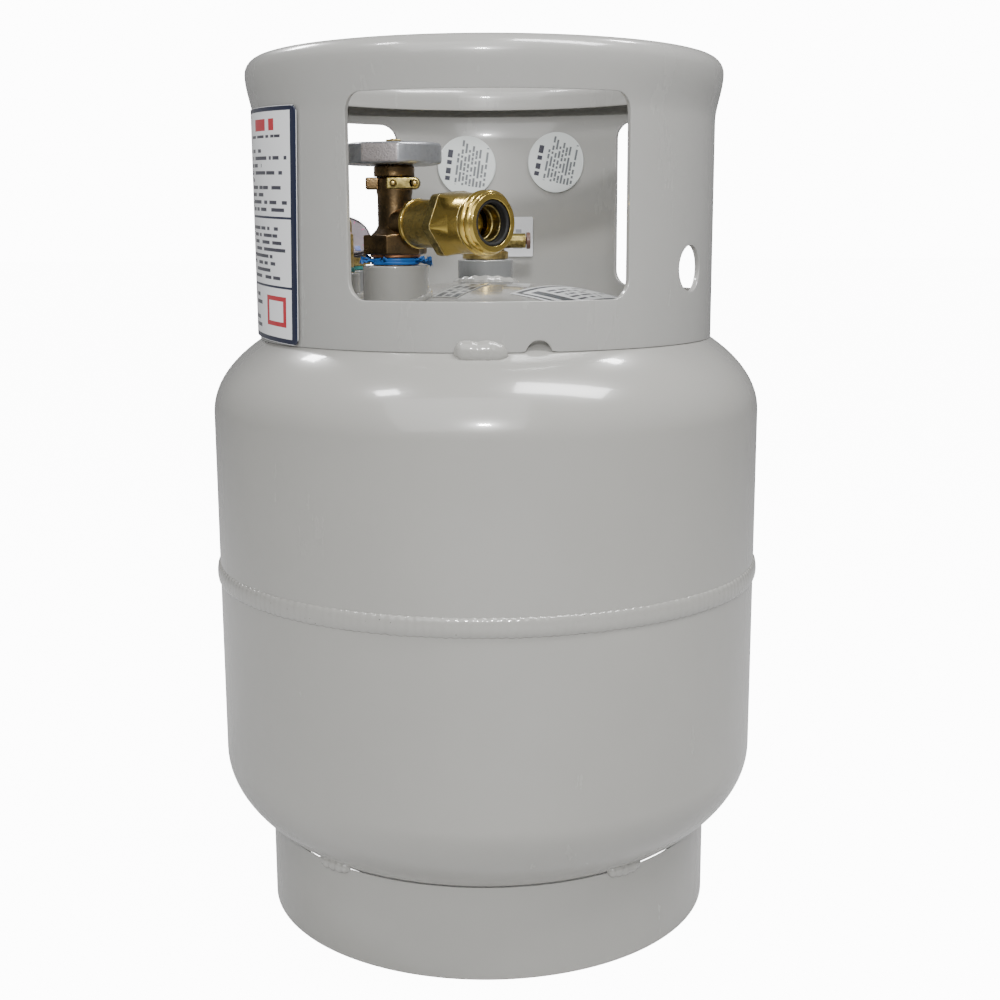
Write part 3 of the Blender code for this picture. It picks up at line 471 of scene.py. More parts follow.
class Print(Enum):
    """What a sticker shows."""

    DATA = "data"
    ROUND = "round"
    SQUARE = "square"
    ARROW = "arrow"
    EMBLEM = "emblem"


@dataclass(frozen=True)
class Sticker(Finish):
    """Printed film; the print is plain blocks and dashes."""

    style: Print = Print.DATA
    lean: float = 0.0

    def paint(self, graph: Graph, shader: Node, where: Node) -> None:
        """Feed the shader with the print of this style over slightly mottled film."""
        flat = where.outputs["UV"]
        mottle = graph.grain(where.outputs["Object"], 60.0, 3.0)
        colour = graph.mix(mottle, self.colour, self.shade(0.93))
        for mask, ink in self.marks(graph, flat):
            colour = graph.mix(mask, colour, ink)
        graph.feed(shader.inputs["Base Color"], colour)
        shader.inputs["Coat Weight"].default_value = 0.3
        self.bump(graph, shader, graph.grain(where.outputs["Object"], 250.0, 3.0), 0.02)

    def marks(self, graph: Graph, flat: Socket) -> list[tuple[object, Colour]]:
        """Return each printed mask and its ink, from the bottom layer up.

        Args:
            graph: graph of the sticker's material.
            flat: place on the sticker, 0 to 1 both ways.

        Returns:
            Pairs of a mask and a colour.
        """
        def panel(left: float, right: float, low: float, high: float) -> Node:
            """Return a plain block."""
            return EFFECTS.use(graph, EFFECTS.panel, UV=flat, Left=left, Right=right, Low=low, High=high)

        def dashes(left: float, right: float, low: float, high: float, rows: float, seed: float,
                   dash: float = 14.0, weight: float = 0.5, uv: object = None) -> Node:
            """Return rows of dashes."""
            return EFFECTS.use(graph, EFFECTS.lines, UV=uv or flat, Left=left, Right=right, Low=low,
                               High=high, Rows=rows, Dash=dash, Weight=weight, Seed=seed)

        navy, red, ink = (0.008, 0.012, 0.035), (0.45, 0.02, 0.03), (0.04, 0.04, 0.055)
        grey, white = (0.32, 0.33, 0.36), self.colour
        if self.style is Print.DATA:
            return [(panel(0.0, 0.997, 0.002, 0.998), navy), (panel(0.04, 0.95, 0.022, 0.98), white),
                    (dashes(0.5, 0.93, 0.9, 0.955, 1.0, 3.0, 9.0, 0.9), red),
                    (dashes(0.45, 0.93, 0.87, 0.89, 1.0, 7.0, 22.0, 0.6), ink),
                    (dashes(0.09, 0.92, 0.56, 0.84, 9.0, 11.0), ink),
                    (panel(0.045, 0.955, 0.53, 0.54), navy),
                    (dashes(0.09, 0.9, 0.27, 0.51, 8.0, 29.0), ink),
                    (panel(0.045, 0.955, 0.235, 0.245), navy),
                    (dashes(0.09, 0.6, 0.05, 0.22, 5.0, 41.0), ink),
                    (panel(0.68, 0.9, 0.07, 0.2), red), (panel(0.71, 0.87, 0.09, 0.18), white)]
        if self.style is Print.ROUND:
            turned = graph.add("ShaderNodeVectorRotate", {"Vector": flat, "Center": (0.5, 0.5, 0.0),
                                                          "Angle": math.radians(self.lean)})
            return [(dashes(0.17, 0.92, 0.15, 0.7, 9.0, 5.0, 15.0, 0.62, turned.outputs[0]),
                     (0.13, 0.14, 0.15)),
                    (dashes(0.22, 0.85, 0.76, 0.85, 1.0, 5.0, 9.0, 0.95, turned.outputs[0]), ink)]
        if self.style is Print.SQUARE:
            return [(dashes(0.15, 0.85, 0.2, 0.8, 3.0, 8.0, 5.0, 0.45), grey)]
        if self.style is Print.ARROW:
            dark = (0.035, 0.04, 0.05)
            return [(panel(0.03, 0.97, 0.05, 0.95), dark), (panel(0.07, 0.93, 0.12, 0.88), white),
                    (dashes(0.3, 0.88, 0.2, 0.8, 5.0, 17.0, 9.0, 0.5), ink),
                    (panel(0.12, 0.24, 0.2, 0.8), dark)]
        return [(dashes(0.02, 0.98, 0.04, 0.96, 3.0, 23.0, 7.0, 0.72), (0.02, 0.02, 0.025))]


PAINT = Enamel("grey_enamel", (0.335, 0.33, 0.31), 0.24)
# Darker copy of the body enamel: painted shade for the relief and gauge bosses, which sit in the
# collar's shadow.
BOSS_PAINTED_SHADE = Enamel("grey_enamel_boss", (0.17, 0.175, 0.175), 0.22)
# Enamel a little lighter than the body's: painted light, so the collar and its shaded inside wall read
# brighter.
COLLAR_PAINTED_LIGHT = Enamel("grey_enamel_collar", (0.345, 0.342, 0.327), 0.26, wave=0.04)
WELD_PAINT = Enamel("grey_enamel_weld", (0.335, 0.33, 0.31), 0.16, peel=0.03, wave=0.0, specks=1.2)
STEEL = Metal("bare_steel", (0.5, 0.49, 0.47), 0.35, dull=(0.25, 0.22, 0.2), edge=(0.7, 0.7, 0.68))
BRONZE = Metal("forged_bronze", (0.21, 0.138, 0.066), 0.27, dull=(0.075, 0.054, 0.03),
               edge=(0.55, 0.33, 0.16), share=0.5, grain=0.05, blotch=16.0)
BRASS = Metal("bright_brass", (0.66, 0.48, 0.12), 0.19, dull=(0.4, 0.28, 0.05), share=0.34, grain=0.008,
              rings=0.012, origin=(*SERVICE_VALVE, OUTLET_LEVEL), axis=(0.6743, -0.73846, 0.0))
OLIVE = Metal("stamped_brass", (0.52, 0.4, 0.13), 0.33, dull=(0.25, 0.19, 0.065), share=0.45, grain=0.12,
              grain_size=2.2)
DARK_BRASS = Metal("dark_brass", (0.4, 0.32, 0.11), 0.3, dull=(0.14, 0.11, 0.04), share=0.5, grain=0.04)
FITTING_BRASS = Metal("fitting_brass", (0.62, 0.47, 0.18), 0.28, dull=(0.25, 0.18, 0.07), share=0.45,
                      rings=0.01)
COPPER = Metal("copper_brown", (0.45, 0.2, 0.1), 0.35, dull=(0.15, 0.07, 0.04), edge=(0.8, 0.5, 0.35))
CAST = Stippled("cast_grey", (0.3, 0.31, 0.33), 0.36, spots=(0.34, 0.35, 0.37), height=0.03, size=2.4)
GRIP = Stippled("stippled_grip", (0.36, 0.33, 0.33), 0.4, spots=(0.5, 0.46, 0.46), height=0.1, size=1.0)
SPRING = Metal("drawn_wire", (0.55, 0.55, 0.56), 0.28, dull=(0.35, 0.34, 0.33), edge=(0.8, 0.8, 0.8))
RUBBER = Finish("black_rubber", (0.006, 0.006, 0.006), 0.75)
TAPE = Finish("blue_tape", (0.02, 0.15, 0.5), 0.42)
SEALANT = Finish("green_sealant", (0.02, 0.16, 0.15), 0.45)
NYLON = Finish("white_nylon", (0.74, 0.73, 0.69), 0.4)
CAP = Finish("brown_cap", (0.12, 0.06, 0.045), 0.38)
DIAL = Finish("mauve_dial", (0.15, 0.115, 0.135), 0.4)
MARKS = Finish("magenta_marks", (0.42, 0.03, 0.16), 0.4)
NEEDLE = Finish("blue_needle", (0.03, 0.1, 0.45), 0.35)
LENS = Clear("clear_lens", (0.75, 0.68, 0.74), 0.1)
RIM = Finish("dark_rim", (0.035, 0.028, 0.035), 0.35)


# ---------------------------------------------------------------------------------- shape tools


def around(degrees: float, radius: float, level: float) -> Vector:
    """Return the point at an angle from the front towards +X, a radius and a level."""
    angle = math.radians(degrees)
    return Vector((radius * math.sin(angle), -radius * math.cos(angle), level))


def turned_by(angle: float, start: float) -> float:
    """Return how far one angle lies from another, between -180 and 180 degrees."""
    return (angle - start + 180.0) % 360.0 - 180.0


def upright(x: float, y: float, level: float = 0.0) -> Matrix:
    """Return the frame of an upright axis."""
    return Matrix.Translation((x, y, level))


def outward(degrees: float, level: float, x: float = 0.0, y: float = 0.0) -> Matrix:
    """Return the frame of a level axis that points out at an angle, with its own Y upwards."""
    turn = Matrix.Rotation(math.radians(degrees), 4, "Z") @ Matrix.Rotation(math.radians(90.0), 4, "X")
    return Matrix.Translation((x, y, level)) @ turn


def dome(radius: float, lift: float = 0.0) -> float:
    """Return the level of the upper head at a distance from the axis."""
    share = min(1.0, radius / (BODY_RADIUS + lift))
    return UPPER_TANGENT + (UPPER_HEIGHT + lift) * math.sqrt(1.0 - share * share)


def belly(radius: float) -> float:
    """Return the level of the lower head at a distance from the axis."""
    return LOWER_TANGENT - LOWER_HEIGHT * math.sqrt(max(0.0, 1.0 - (radius / BODY_RADIUS) ** 2))


def ellipse(radius: float, tangent: float, height: float, count: int = 40) -> list[Point]:
    """Return a head's outline from the crown out to its tangent line."""
    steps = [math.radians(90.0 * step / count) for step in range(count + 1)]
    return [(radius * math.sin(angle), tangent + height * math.cos(angle)) for angle in steps]


def eased(outline: Outline, radius: float, count: int = 3) -> list[Point]:
    """Round the sharp corners of a closed outline.

    Args:
        outline: corners in order.
        radius: radius of each rounding, less where an edge is short.
        count: segments of each rounding.

    Returns:
        The longer list of corners.
    """
    result: list[Point] = []
    for index, corner in enumerate(outline):
        here = Vector(corner)
        before = Vector(outline[index - 1]) - here
        after = Vector(outline[(index + 1) % len(outline)]) - here
        if min(before.length, after.length) < 0.02 or corner[0] < 0.001 or radius <= 0.0:
            result.append(corner)
            continue
        bend = math.pi - before.angle(after)
        if bend < math.radians(25.0):
            result.append(corner)
            continue
        reach = min(radius * math.tan(bend / 2.0), 0.42 * before.length, 0.42 * after.length)
        start = here + before.normalized() * reach
        end = here + after.normalized() * reach
        for step in range(count + 1):
            share = step / count
            point = start * (1 - share) ** 2 + here * 2 * share * (1 - share) + end * share ** 2
            result.append((point.x, point.y))
    return result


class Shape:
    """Mesh under construction, in millimetres, with one material for each part of it."""

    def __init__(self) -> None:
        """Start empty."""
        self.mesh = bmesh.new()
        self.finishes: list[Finish] = []

    def index(self, finish: Finish) -> int:
        """Return the material number of a finish."""
        if finish not in self.finishes:
            self.finishes.append(finish)
        return self.finishes.index(finish)

    def settle(self, faces: list, finish: Finish, spot: Matrix) -> None:
        """Give new faces their finish and place."""
        number = self.index(finish)
        for face in faces:
            face.material_index = number
        verts = list({vert for face in faces for vert in face.verts})
        bmesh.ops.transform(self.mesh, matrix=spot, verts=verts)
        bmesh.ops.recalc_face_normals(self.mesh, faces=faces)

    def turned(self, outline: Outline, finish: Finish, spot: Matrix | None = None, ease: float = 0.4,
               steps: int = 72, wobble: Callable[[float, Point], float] | None = None) -> "Shape":
        """Add a solid turned from a closed outline of (radius, level).

        Args:
            outline: corners in order; those on the axis have radius 0.
            finish: the solid's finish.
            spot: frame that the outline turns in.
            ease: rounding of the corners.
            steps: segments round the axis.
            wobble: extra radius at an angle and a corner.

        Returns:
            This shape.
        """
        corners = eased(outline, ease)
        rings = []
        for radius, level in corners:
            if radius < 0.001:
                rings.append([self.mesh.verts.new((0.0, 0.0, level))])
                continue
            ring = []
            for step in range(steps):
                angle = 2.0 * math.pi * step / steps
                reach = radius + (wobble(angle, (radius, level)) if wobble else 0.0)
                ring.append(self.mesh.verts.new((reach * math.cos(angle), reach * math.sin(angle),
                                                 level)))
            rings.append(ring)
        faces = []
        for one, two in zip(rings, rings[1:] + rings[:1]):
            if len(one) == 1 and len(two) == 1:
                continue
            for step in range(steps):
                after = (step + 1) % steps
                corner = {one[step % len(one)]: 0, one[after % len(one)]: 0, two[after % len(two)]: 0,
                          two[step % len(two)]: 0}
                faces.append(self.mesh.faces.new(list(corner)))
        self.settle(faces, finish, spot or Matrix())
        return self

    def prism(self, outline: Outline, low: float, high: float, finish: Finish,
              spot: Matrix | None = None, ease: float = 0.5, corner: float = 0.6) -> "Shape":
        """Add a flat-ended solid with an outline, rounded along its rims and at its corners."""
        plan = [Vector(point) for point in eased([(x + 1000.0, y) for x, y in outline], corner, 4)]
        plan = [point - Vector((1000.0, 0.0)) for point in plan]
        area = sum(one.cross(two) for one, two in zip(plan, plan[1:] + plan[:1]))
        plan = plan if area > 0.0 else list(reversed(plan))
        inward = []
        for index, point in enumerate(plan):
            run = plan[(index + 1) % len(plan)] - plan[index - 1]
            inward.append(Vector((-run.y, run.x)).normalized())
        steps = [math.radians(30.0 * step) for step in range(4)]
        levels = [(ease * (1 - math.sin(a)), low + ease * (1 - math.cos(a))) for a in steps]
        levels += [(ease * (1 - math.cos(a)), high - ease * (1 - math.sin(a))) for a in steps]
        rings = [[self.mesh.verts.new((*(point + side * inset), level))
                  for point, side in zip(plan, inward)] for inset, level in levels]
        faces = [self.mesh.faces.new(list(reversed(rings[0]))), self.mesh.faces.new(rings[-1])]
        for one, two in zip(rings, rings[1:]):
            for step in range(len(plan)):
                after = (step + 1) % len(plan)
                faces.append(self.mesh.faces.new((one[step], one[after], two[after], two[step])))
        self.settle(faces, finish, spot or Matrix())
        return self

    def hexagon(self, flats: float, low: float, high: float, finish: Finish, spot: Matrix,
                turn: float = 0.0, ease: float = 0.7) -> "Shape":
        """Add a hexagonal prism, with a corner along Y where it isn't turned."""
        reach = flats / math.sqrt(3.0)
        angles = [math.radians(90.0 + turn + 60.0 * step) for step in range(6)]
        outline = [(reach * math.cos(angle), reach * math.sin(angle)) for angle in angles]
        return self.prism(outline, low, high, finish, spot, ease, 0.8)

    def box(self, size: Triple, centre: Triple, finish: Finish,
            spot: Matrix | None = None, ease: float = 0.5) -> "Shape":
        """Add a block with rounded edges."""
        x, y = size[0] / 2.0, size[1] / 2.0
        outline = [(centre[0] + a * x, centre[1] + b * y) for a,
                   b in ((-1, -1), (1, -1), (1, 1), (-1, 1))]
        low = centre[2] - size[2] / 2.0
        return self.prism(outline, low, low + size[2], finish, spot, min(ease, size[2] * 0.4), ease)

    def put(self, mesh: bpy.types.Mesh, finish: Finish, spot: Matrix | None = None) -> "Shape":
        """Add a finished mesh that is in metres."""
        before = set(self.mesh.faces)
        self.mesh.from_mesh(mesh)
        faces = [face for face in self.mesh.faces if face not in before]
        number = self.index(finish)
        for face in faces:
            face.material_index = number
        verts = list({vert for face in faces for vert in face.verts})
        bmesh.ops.transform(self.mesh, matrix=(spot or Matrix()) @ Matrix.Scale(METRE, 4), verts=verts)
        return self

    def finish(self, name: str, body: str = "cylinder", stands_for: Sequence[str] = (),
               slot: str = "", sharp: float = 40.0) -> bpy.types.Object:
        """Make the object, dress it and let it ride.

        Args:
            name: name of the piece.
            body: body that it rides on.
            stands_for: CAD nodes that it replaces.
            slot: not used.
            sharp: angle past which an edge is shaded sharp.

        Returns:
            The finished piece.
        """
        mesh = in_metres(self.mesh, name)
        for finish in self.finishes:
            mesh.materials.append(finish.material())
        mesh.shade_smooth()
        mesh.set_sharp_from_angle(angle=math.radians(sharp))
        piece = new_object(name, mesh)
        weights = piece.modifiers.new("weighted", "WEIGHTED_NORMAL")
        weights.keep_sharp = True
        mesh_with_normals(piece)
        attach(piece, body)
        if stands_for:
            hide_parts(*stands_for)
        LOG.info("%s: %d faces on %s", name, len(piece.data.polygons), body)
        return piece


def new_object(name: str, data: bpy.types.ID) -> bpy.types.Object:
    """Return a new object that is in the scene."""
    made = bpy.data.objects.new(name, data)
    bpy.context.scene.collection.objects.link(made)
    return made


def in_metres(mesh: bmesh.types.BMesh, name: str) -> bpy.types.Mesh:
    """Turn a mesh under construction, in millimetres, into a plain one in metres."""
    data = bpy.data.meshes.new(name)
    bmesh.ops.scale(mesh, vec=(MM, MM, MM), verts=mesh.verts)
    mesh.to_mesh(data)
    mesh.free()
    return data


def mesh_with_normals(piece: bpy.types.Object) -> None:
    """Turn a piece's modifiers into plain mesh and remove them."""
    graph = bpy.context.evaluated_depsgraph_get()
    made = bpy.data.meshes.new_from_object(piece.evaluated_get(graph))
    piece.modifiers.clear()
    old = piece.data
    piece.data = made
    bpy.data.meshes.remove(old)
    made.name = piece.name


def grow(tree: Tree, source: bpy.types.Mesh, **values: object) -> bpy.types.Mesh:
    """Run a Geometry Nodes tree on a mesh and return the plain result.

    Args:
        tree: the node tree.
        source: mesh that goes in.
        values: inputs by name, with _ for a space.

    Returns:
        The mesh that comes out, in metres.
    """
    seed = new_object("seed", source)
    modifier = seed.modifiers.new("grow", "NODES")
    modifier.node_group = tree
    for item in tree.interface.items_tree:
        key = item.name.replace(" ", "_")
        if item.in_out == "INPUT" and key in values:
            modifier[item.identifier] = values[key]
    graph = bpy.context.evaluated_depsgraph_get()
    made = bpy.data.meshes.new_from_object(seed.evaluated_get(graph))
    bpy.data.objects.remove(seed)
    return made


def line_mesh(points: Sequence[Vector], closed: bool = False) -> bpy.types.Mesh:
    """Return a mesh of edges through points given in millimetres."""
    count = len(points)
    edges = [(step, (step + 1) % count) for step in range(count if closed else count - 1)]
    mesh = bpy.data.meshes.new("path")
    mesh.from_pydata([point * MM for point in points], edges, [])
    return mesh


def short_line() -> bpy.types.Mesh:
    """Return a short line, to start a tree that follows no path."""
    return line_mesh([Vector(), Vector(UP)])


def sweep(graph: Graph, path: Node, half: tuple[object, object], sides: int, scale: object,
          material: Socket) -> Node:
    """Add nodes that sweep an oval along a path.

    Args:
        graph: graph of the tree.
        path: curve to follow.
        half: half sizes of the oval, out from the path and along its surface.
        sides: sides of the oval.
        scale: scale of the oval along the path.
        material: material of the result.

    Returns:
        The node that gives the swept mesh.
    """
    ring = graph.add("GeometryNodeCurvePrimitiveCircle", {"Resolution": sides, "Radius": 1.0})
    size = graph.add("ShaderNodeCombineXYZ", {0: half[0], 1: half[1], 2: 1.0})
    ring = graph.add("GeometryNodeTransform", {"Geometry": ring, "Scale": size})
    swept = graph.add("GeometryNodeCurveToMesh", {"Curve": path, "Profile Curve": ring,
                                                  "Scale": scale, "Fill Caps": True})
    swept = graph.add("GeometryNodeSetMaterial", {"Geometry": swept, "Material": material})
    return graph.add("GeometryNodeRealizeInstances", {"Geometry": swept})


def build_bead_tree() -> Tree:
    """Build the tree that lays a rippled weld bead along a path."""
    inputs = {"Geometry": "Geometry", "Width": 0.008, "Height": 0.003, "Steps": 200, "Ripples": 40.0,
              "Depth": 0.05, "Wander": 0.0004, "Taper": 0.0, "Seed": 0.0, "Material": "Material"}
    graph, into, out = new_group("weld_bead", inputs, {"Geometry": "Geometry"}, "GeometryNodeTree")
    path = graph.add("GeometryNodeMeshToCurve", {0: into["Geometry"]})
    path = graph.add("GeometryNodeResampleCurve", {"Curve": path, "Count": into["Steps"]})
    here = graph.add("GeometryNodeInputPosition").outputs[0]
    shift = graph.add("ShaderNodeTexNoise", {"Vector": here, "W": into["Seed"], "Scale": 90.0},
                      noise_dimensions="4D").outputs["Color"]
    centred = graph.vector("SUBTRACT", shift, (0.5, 0.5, 0.5))
    drift = graph.add("ShaderNodeVectorMath", {0: centred, "Scale": into["Wander"]}, operation="SCALE")
    path = graph.add("GeometryNodeSetPosition", {"Geometry": path, "Offset": drift})
    path = graph.add("GeometryNodeSetCurveNormal", {"Curve": path}, mode="Z_UP")
    factor = graph.add("GeometryNodeSplineParameter").outputs["Factor"]
    beat = graph.add("ShaderNodeTexNoise", {"Vector": here, "W": into["Seed"], "Scale": 60.0},
                     noise_dimensions="4D").outputs[0]
    turns = graph.math("MULTIPLY_ADD", factor, into["Ripples"], graph.math("MULTIPLY", beat, 1.5))
    wave = graph.math("SINE", graph.math("MULTIPLY", turns, 2.0 * math.pi))
    swell = graph.math("MULTIPLY_ADD", wave, into["Depth"], 1.0)
    ends = graph.math("ABSOLUTE", graph.math("MULTIPLY_ADD", factor, 2.0, -1.0))
    round_end = graph.math("SQRT", graph.math("MAXIMUM", 0.0004, graph.math(
        "SUBTRACT", 1.0, graph.math("POWER", ends, 4.0))))
    taper = graph.math("MULTIPLY_ADD", into["Taper"], graph.math("SUBTRACT", round_end, 1.0), 1.0)
    scale = graph.math("MULTIPLY", swell, taper)
    half_width = graph.math("MULTIPLY", into["Width"], 0.5)
    graph.feed(out["Geometry"], sweep(graph, path, (into["Height"], half_width), 18, scale,
                                      into["Material"]))
    return graph.tree


def build_thread_tree() -> Tree:
    """Build the tree that winds a thread ridge round the Z axis and fades both its ends."""
    inputs = {"Geometry": "Geometry", "Radius": 0.015, "Turns": 2.0, "Rise": 0.01, "Crest": 0.001,
              "Half Width": 0.001, "Material": "Material"}
    graph, into, out = new_group("thread_ridge", inputs, {"Geometry": "Geometry"}, "GeometryNodeTree")
    helix = graph.add("GeometryNodeCurveSpiral", {"Resolution": 96, "Rotations": into["Turns"],
                                                  "Start Radius": into["Radius"],
                                                  "End Radius": into["Radius"], "Height": into["Rise"]})
    helix = graph.add("GeometryNodeSetCurveNormal", {"Curve": helix}, mode="Z_UP")
    factor = graph.add("GeometryNodeSplineParameter").outputs["Factor"]
    ends = graph.math("ABSOLUTE", graph.math("MULTIPLY_ADD", factor, 2.0, -1.0))
    fade = graph.math("SUBTRACT", 1.0, graph.math("POWER", ends, 16.0))
    graph.feed(out["Geometry"], sweep(graph, helix, (into["Crest"], into["Half Width"]), 10,
                                      graph.math("MAXIMUM", fade, 0.05), into["Material"]))
    return graph.tree


def build_dial_tree() -> Tree:
    """Build the tree that sets a row of marks round part of a dial."""
    inputs = {"Geometry": "Geometry", "Count": 9, "Radius": 0.011, "Start": 0.0, "Sweep": 4.7,
              "Length": 0.002, "Width": 0.0006, "Material": "Material"}
    graph, into, out = new_group("dial_marks", inputs, {"Geometry": "Geometry"}, "GeometryNodeTree")
    arc = graph.add("GeometryNodeCurveArc", {"Resolution": into["Count"], "Radius": into["Radius"],
                                             "Start Angle": into["Start"], "Sweep Angle": into["Sweep"]})
    points = graph.add("GeometryNodeCurveToPoints", {"Curve": arc, "Count": into["Count"]})
    size = graph.add("ShaderNodeCombineXYZ", {0: into["Length"], 1: into["Width"], 2: 0.00012})
    mark = graph.add("GeometryNodeMeshCube", {"Size": size})
    here = graph.add("ShaderNodeSeparateXYZ", {0: graph.add("GeometryNodeInputPosition")})
    angle = graph.math("ARCTAN2", here.outputs[1], here.outputs[0])
    turn = graph.add("ShaderNodeCombineXYZ", {2: angle})
    marks = graph.add("GeometryNodeInstanceOnPoints", {"Points": points, "Instance": mark,
                                                       "Rotation": turn})
    marks = graph.add("GeometryNodeRealizeInstances", {"Geometry": marks})
    graph.feed(out["Geometry"], graph.add("GeometryNodeSetMaterial", {"Geometry": marks,
                                                                      "Material": into["Material"]}))
    return graph.tree


BEAD_TREE = build_bead_tree()
THREAD_TREE = build_thread_tree()
DIAL_TREE = build_dial_tree()


def bead(name: str, points: Sequence[Vector], width: float, height: float, ripples: float,
         stands_for: Sequence[str] = (), closed: bool = False, seed: float = 0.0, depth: float = 0.05,
         wander: float = 0.5, steps: int = 160) -> bpy.types.Object:
    """Lay one painted weld bead along a path.

    Args:
        name: name of the piece.
        points: path, in millimetres.
        width: width of the bead, upwards where the path is level.
        height: how far the bead stands out from its path.
        ripples: number of ripples along it.
        stands_for: CAD nodes that it replaces.
        closed: whether the path closes on itself.
        seed: changes the ripples.
        depth: depth of the ripples, as a share.
        wander: how far the path strays.
        steps: rings along the bead.

    Returns:
        The finished piece.
    """
    mesh = grow(BEAD_TREE, line_mesh(points, closed), Width=width * MM, Height=height * MM, Steps=steps,
                Ripples=ripples, Depth=depth, Wander=wander * MM, Taper=0.0 if closed else 1.0,
                Seed=seed,
                Material=WELD_PAINT.material())
    slot = "" if stands_for else "painted_weld"
    return Shape().put(mesh, WELD_PAINT).finish(name, stands_for=stands_for, slot=slot, sharp=80.0)


def short_arc(middle: float, half: float, radius: float, lift: float, level: float) -> list[Vector]:
    """Return the path of a short level weld.

    Args:
        middle: angle of the weld's middle.
        half: half its length.
        radius: radius of the surface that it lies on.
        lift: how far the path stands out from that surface.
        level: level of the path.

    Returns:
        Points along the path.
    """
    reach = math.degrees(half / radius)
    return [around(middle + reach * step / 12.0, radius + lift, level) for step in range(-12, 13)]


# ------------------------------------------------------------------------------- sub-assemblies


@dataclass
class Vessel:
    """Two drawn shells and the girth weld between them."""

    steps: int = 240

    def build(self) -> None:
        """Build both shells and the weld."""
        inner = BODY_RADIUS - BODY_WALL
        for half, tangent, height, wall, levels, gap in (
                ("upper", UPPER_TANGENT, UPPER_HEIGHT, BODY_WALL, (275.0, 250.0, 225.0, 206.0), 0.2),
                ("lower", LOWER_TANGENT, -LOWER_HEIGHT, -BODY_WALL, (110.0, 140.0, 170.0, 194.0), -0.2)):
            shell = ellipse(BODY_RADIUS, tangent, height) + [(BODY_RADIUS, level) for level in levels]
            shell += [(BODY_RADIUS, GIRTH_LEVEL + gap), (inner, GIRTH_LEVEL + gap)]
            shell += reversed(ellipse(inner, tangent, height - wall))
            Shape().turned(shell, PAINT, ease=0.0, steps=self.steps).finish(
                f"{half}_shell_skin", stands_for=[f"{half}_shell"])
        circle = [around(degrees * 0.5, BODY_RADIUS, GIRTH_LEVEL) for degrees in range(720)]
        bead("girth_weld_bead", circle, 10.4, 1.6, 210.0, ["girth_weld"], closed=True, steps=1440,
             depth=0.035, wander=0.5)


@dataclass
class FootRing:
    """Rolled skirt with its short welds."""

    radius: float = 129.3
    wall: float = 2.8
    weld_angles: tuple[float, ...] = (-40.0, 34.0, 130.0, -130.0)

    def build(self) -> None:
        """Build the ring and its welds."""
        outer, inner = self.radius, self.radius - self.wall
        outline = [(outer - 0.2, belly(outer) - 0.5), (outer, 40.0), (outer, 20.0), (outer, 0.7),
                   (outer - 0.7, 0.0), (inner + 0.7, 0.0), (inner, 0.7), (inner, 20.0),
                   (inner, belly(inner) - 0.5)]
        Shape().turned(outline, PAINT, ease=0.5, steps=240).finish("foot_ring_skin",
                                                                   stands_for=["foot_ring"])
        level = belly(outer) + 0.2
        for number, middle in enumerate(self.weld_angles, 1):
            path = short_arc(middle, 11.0, outer, 0.6, level)
            bead(f"foot_weld_bead_{number}", path, 8.0, 3.6, 5.0, [f"foot_weld_{number}"],
                 seed=number * 3.1, depth=0.07, steps=60)


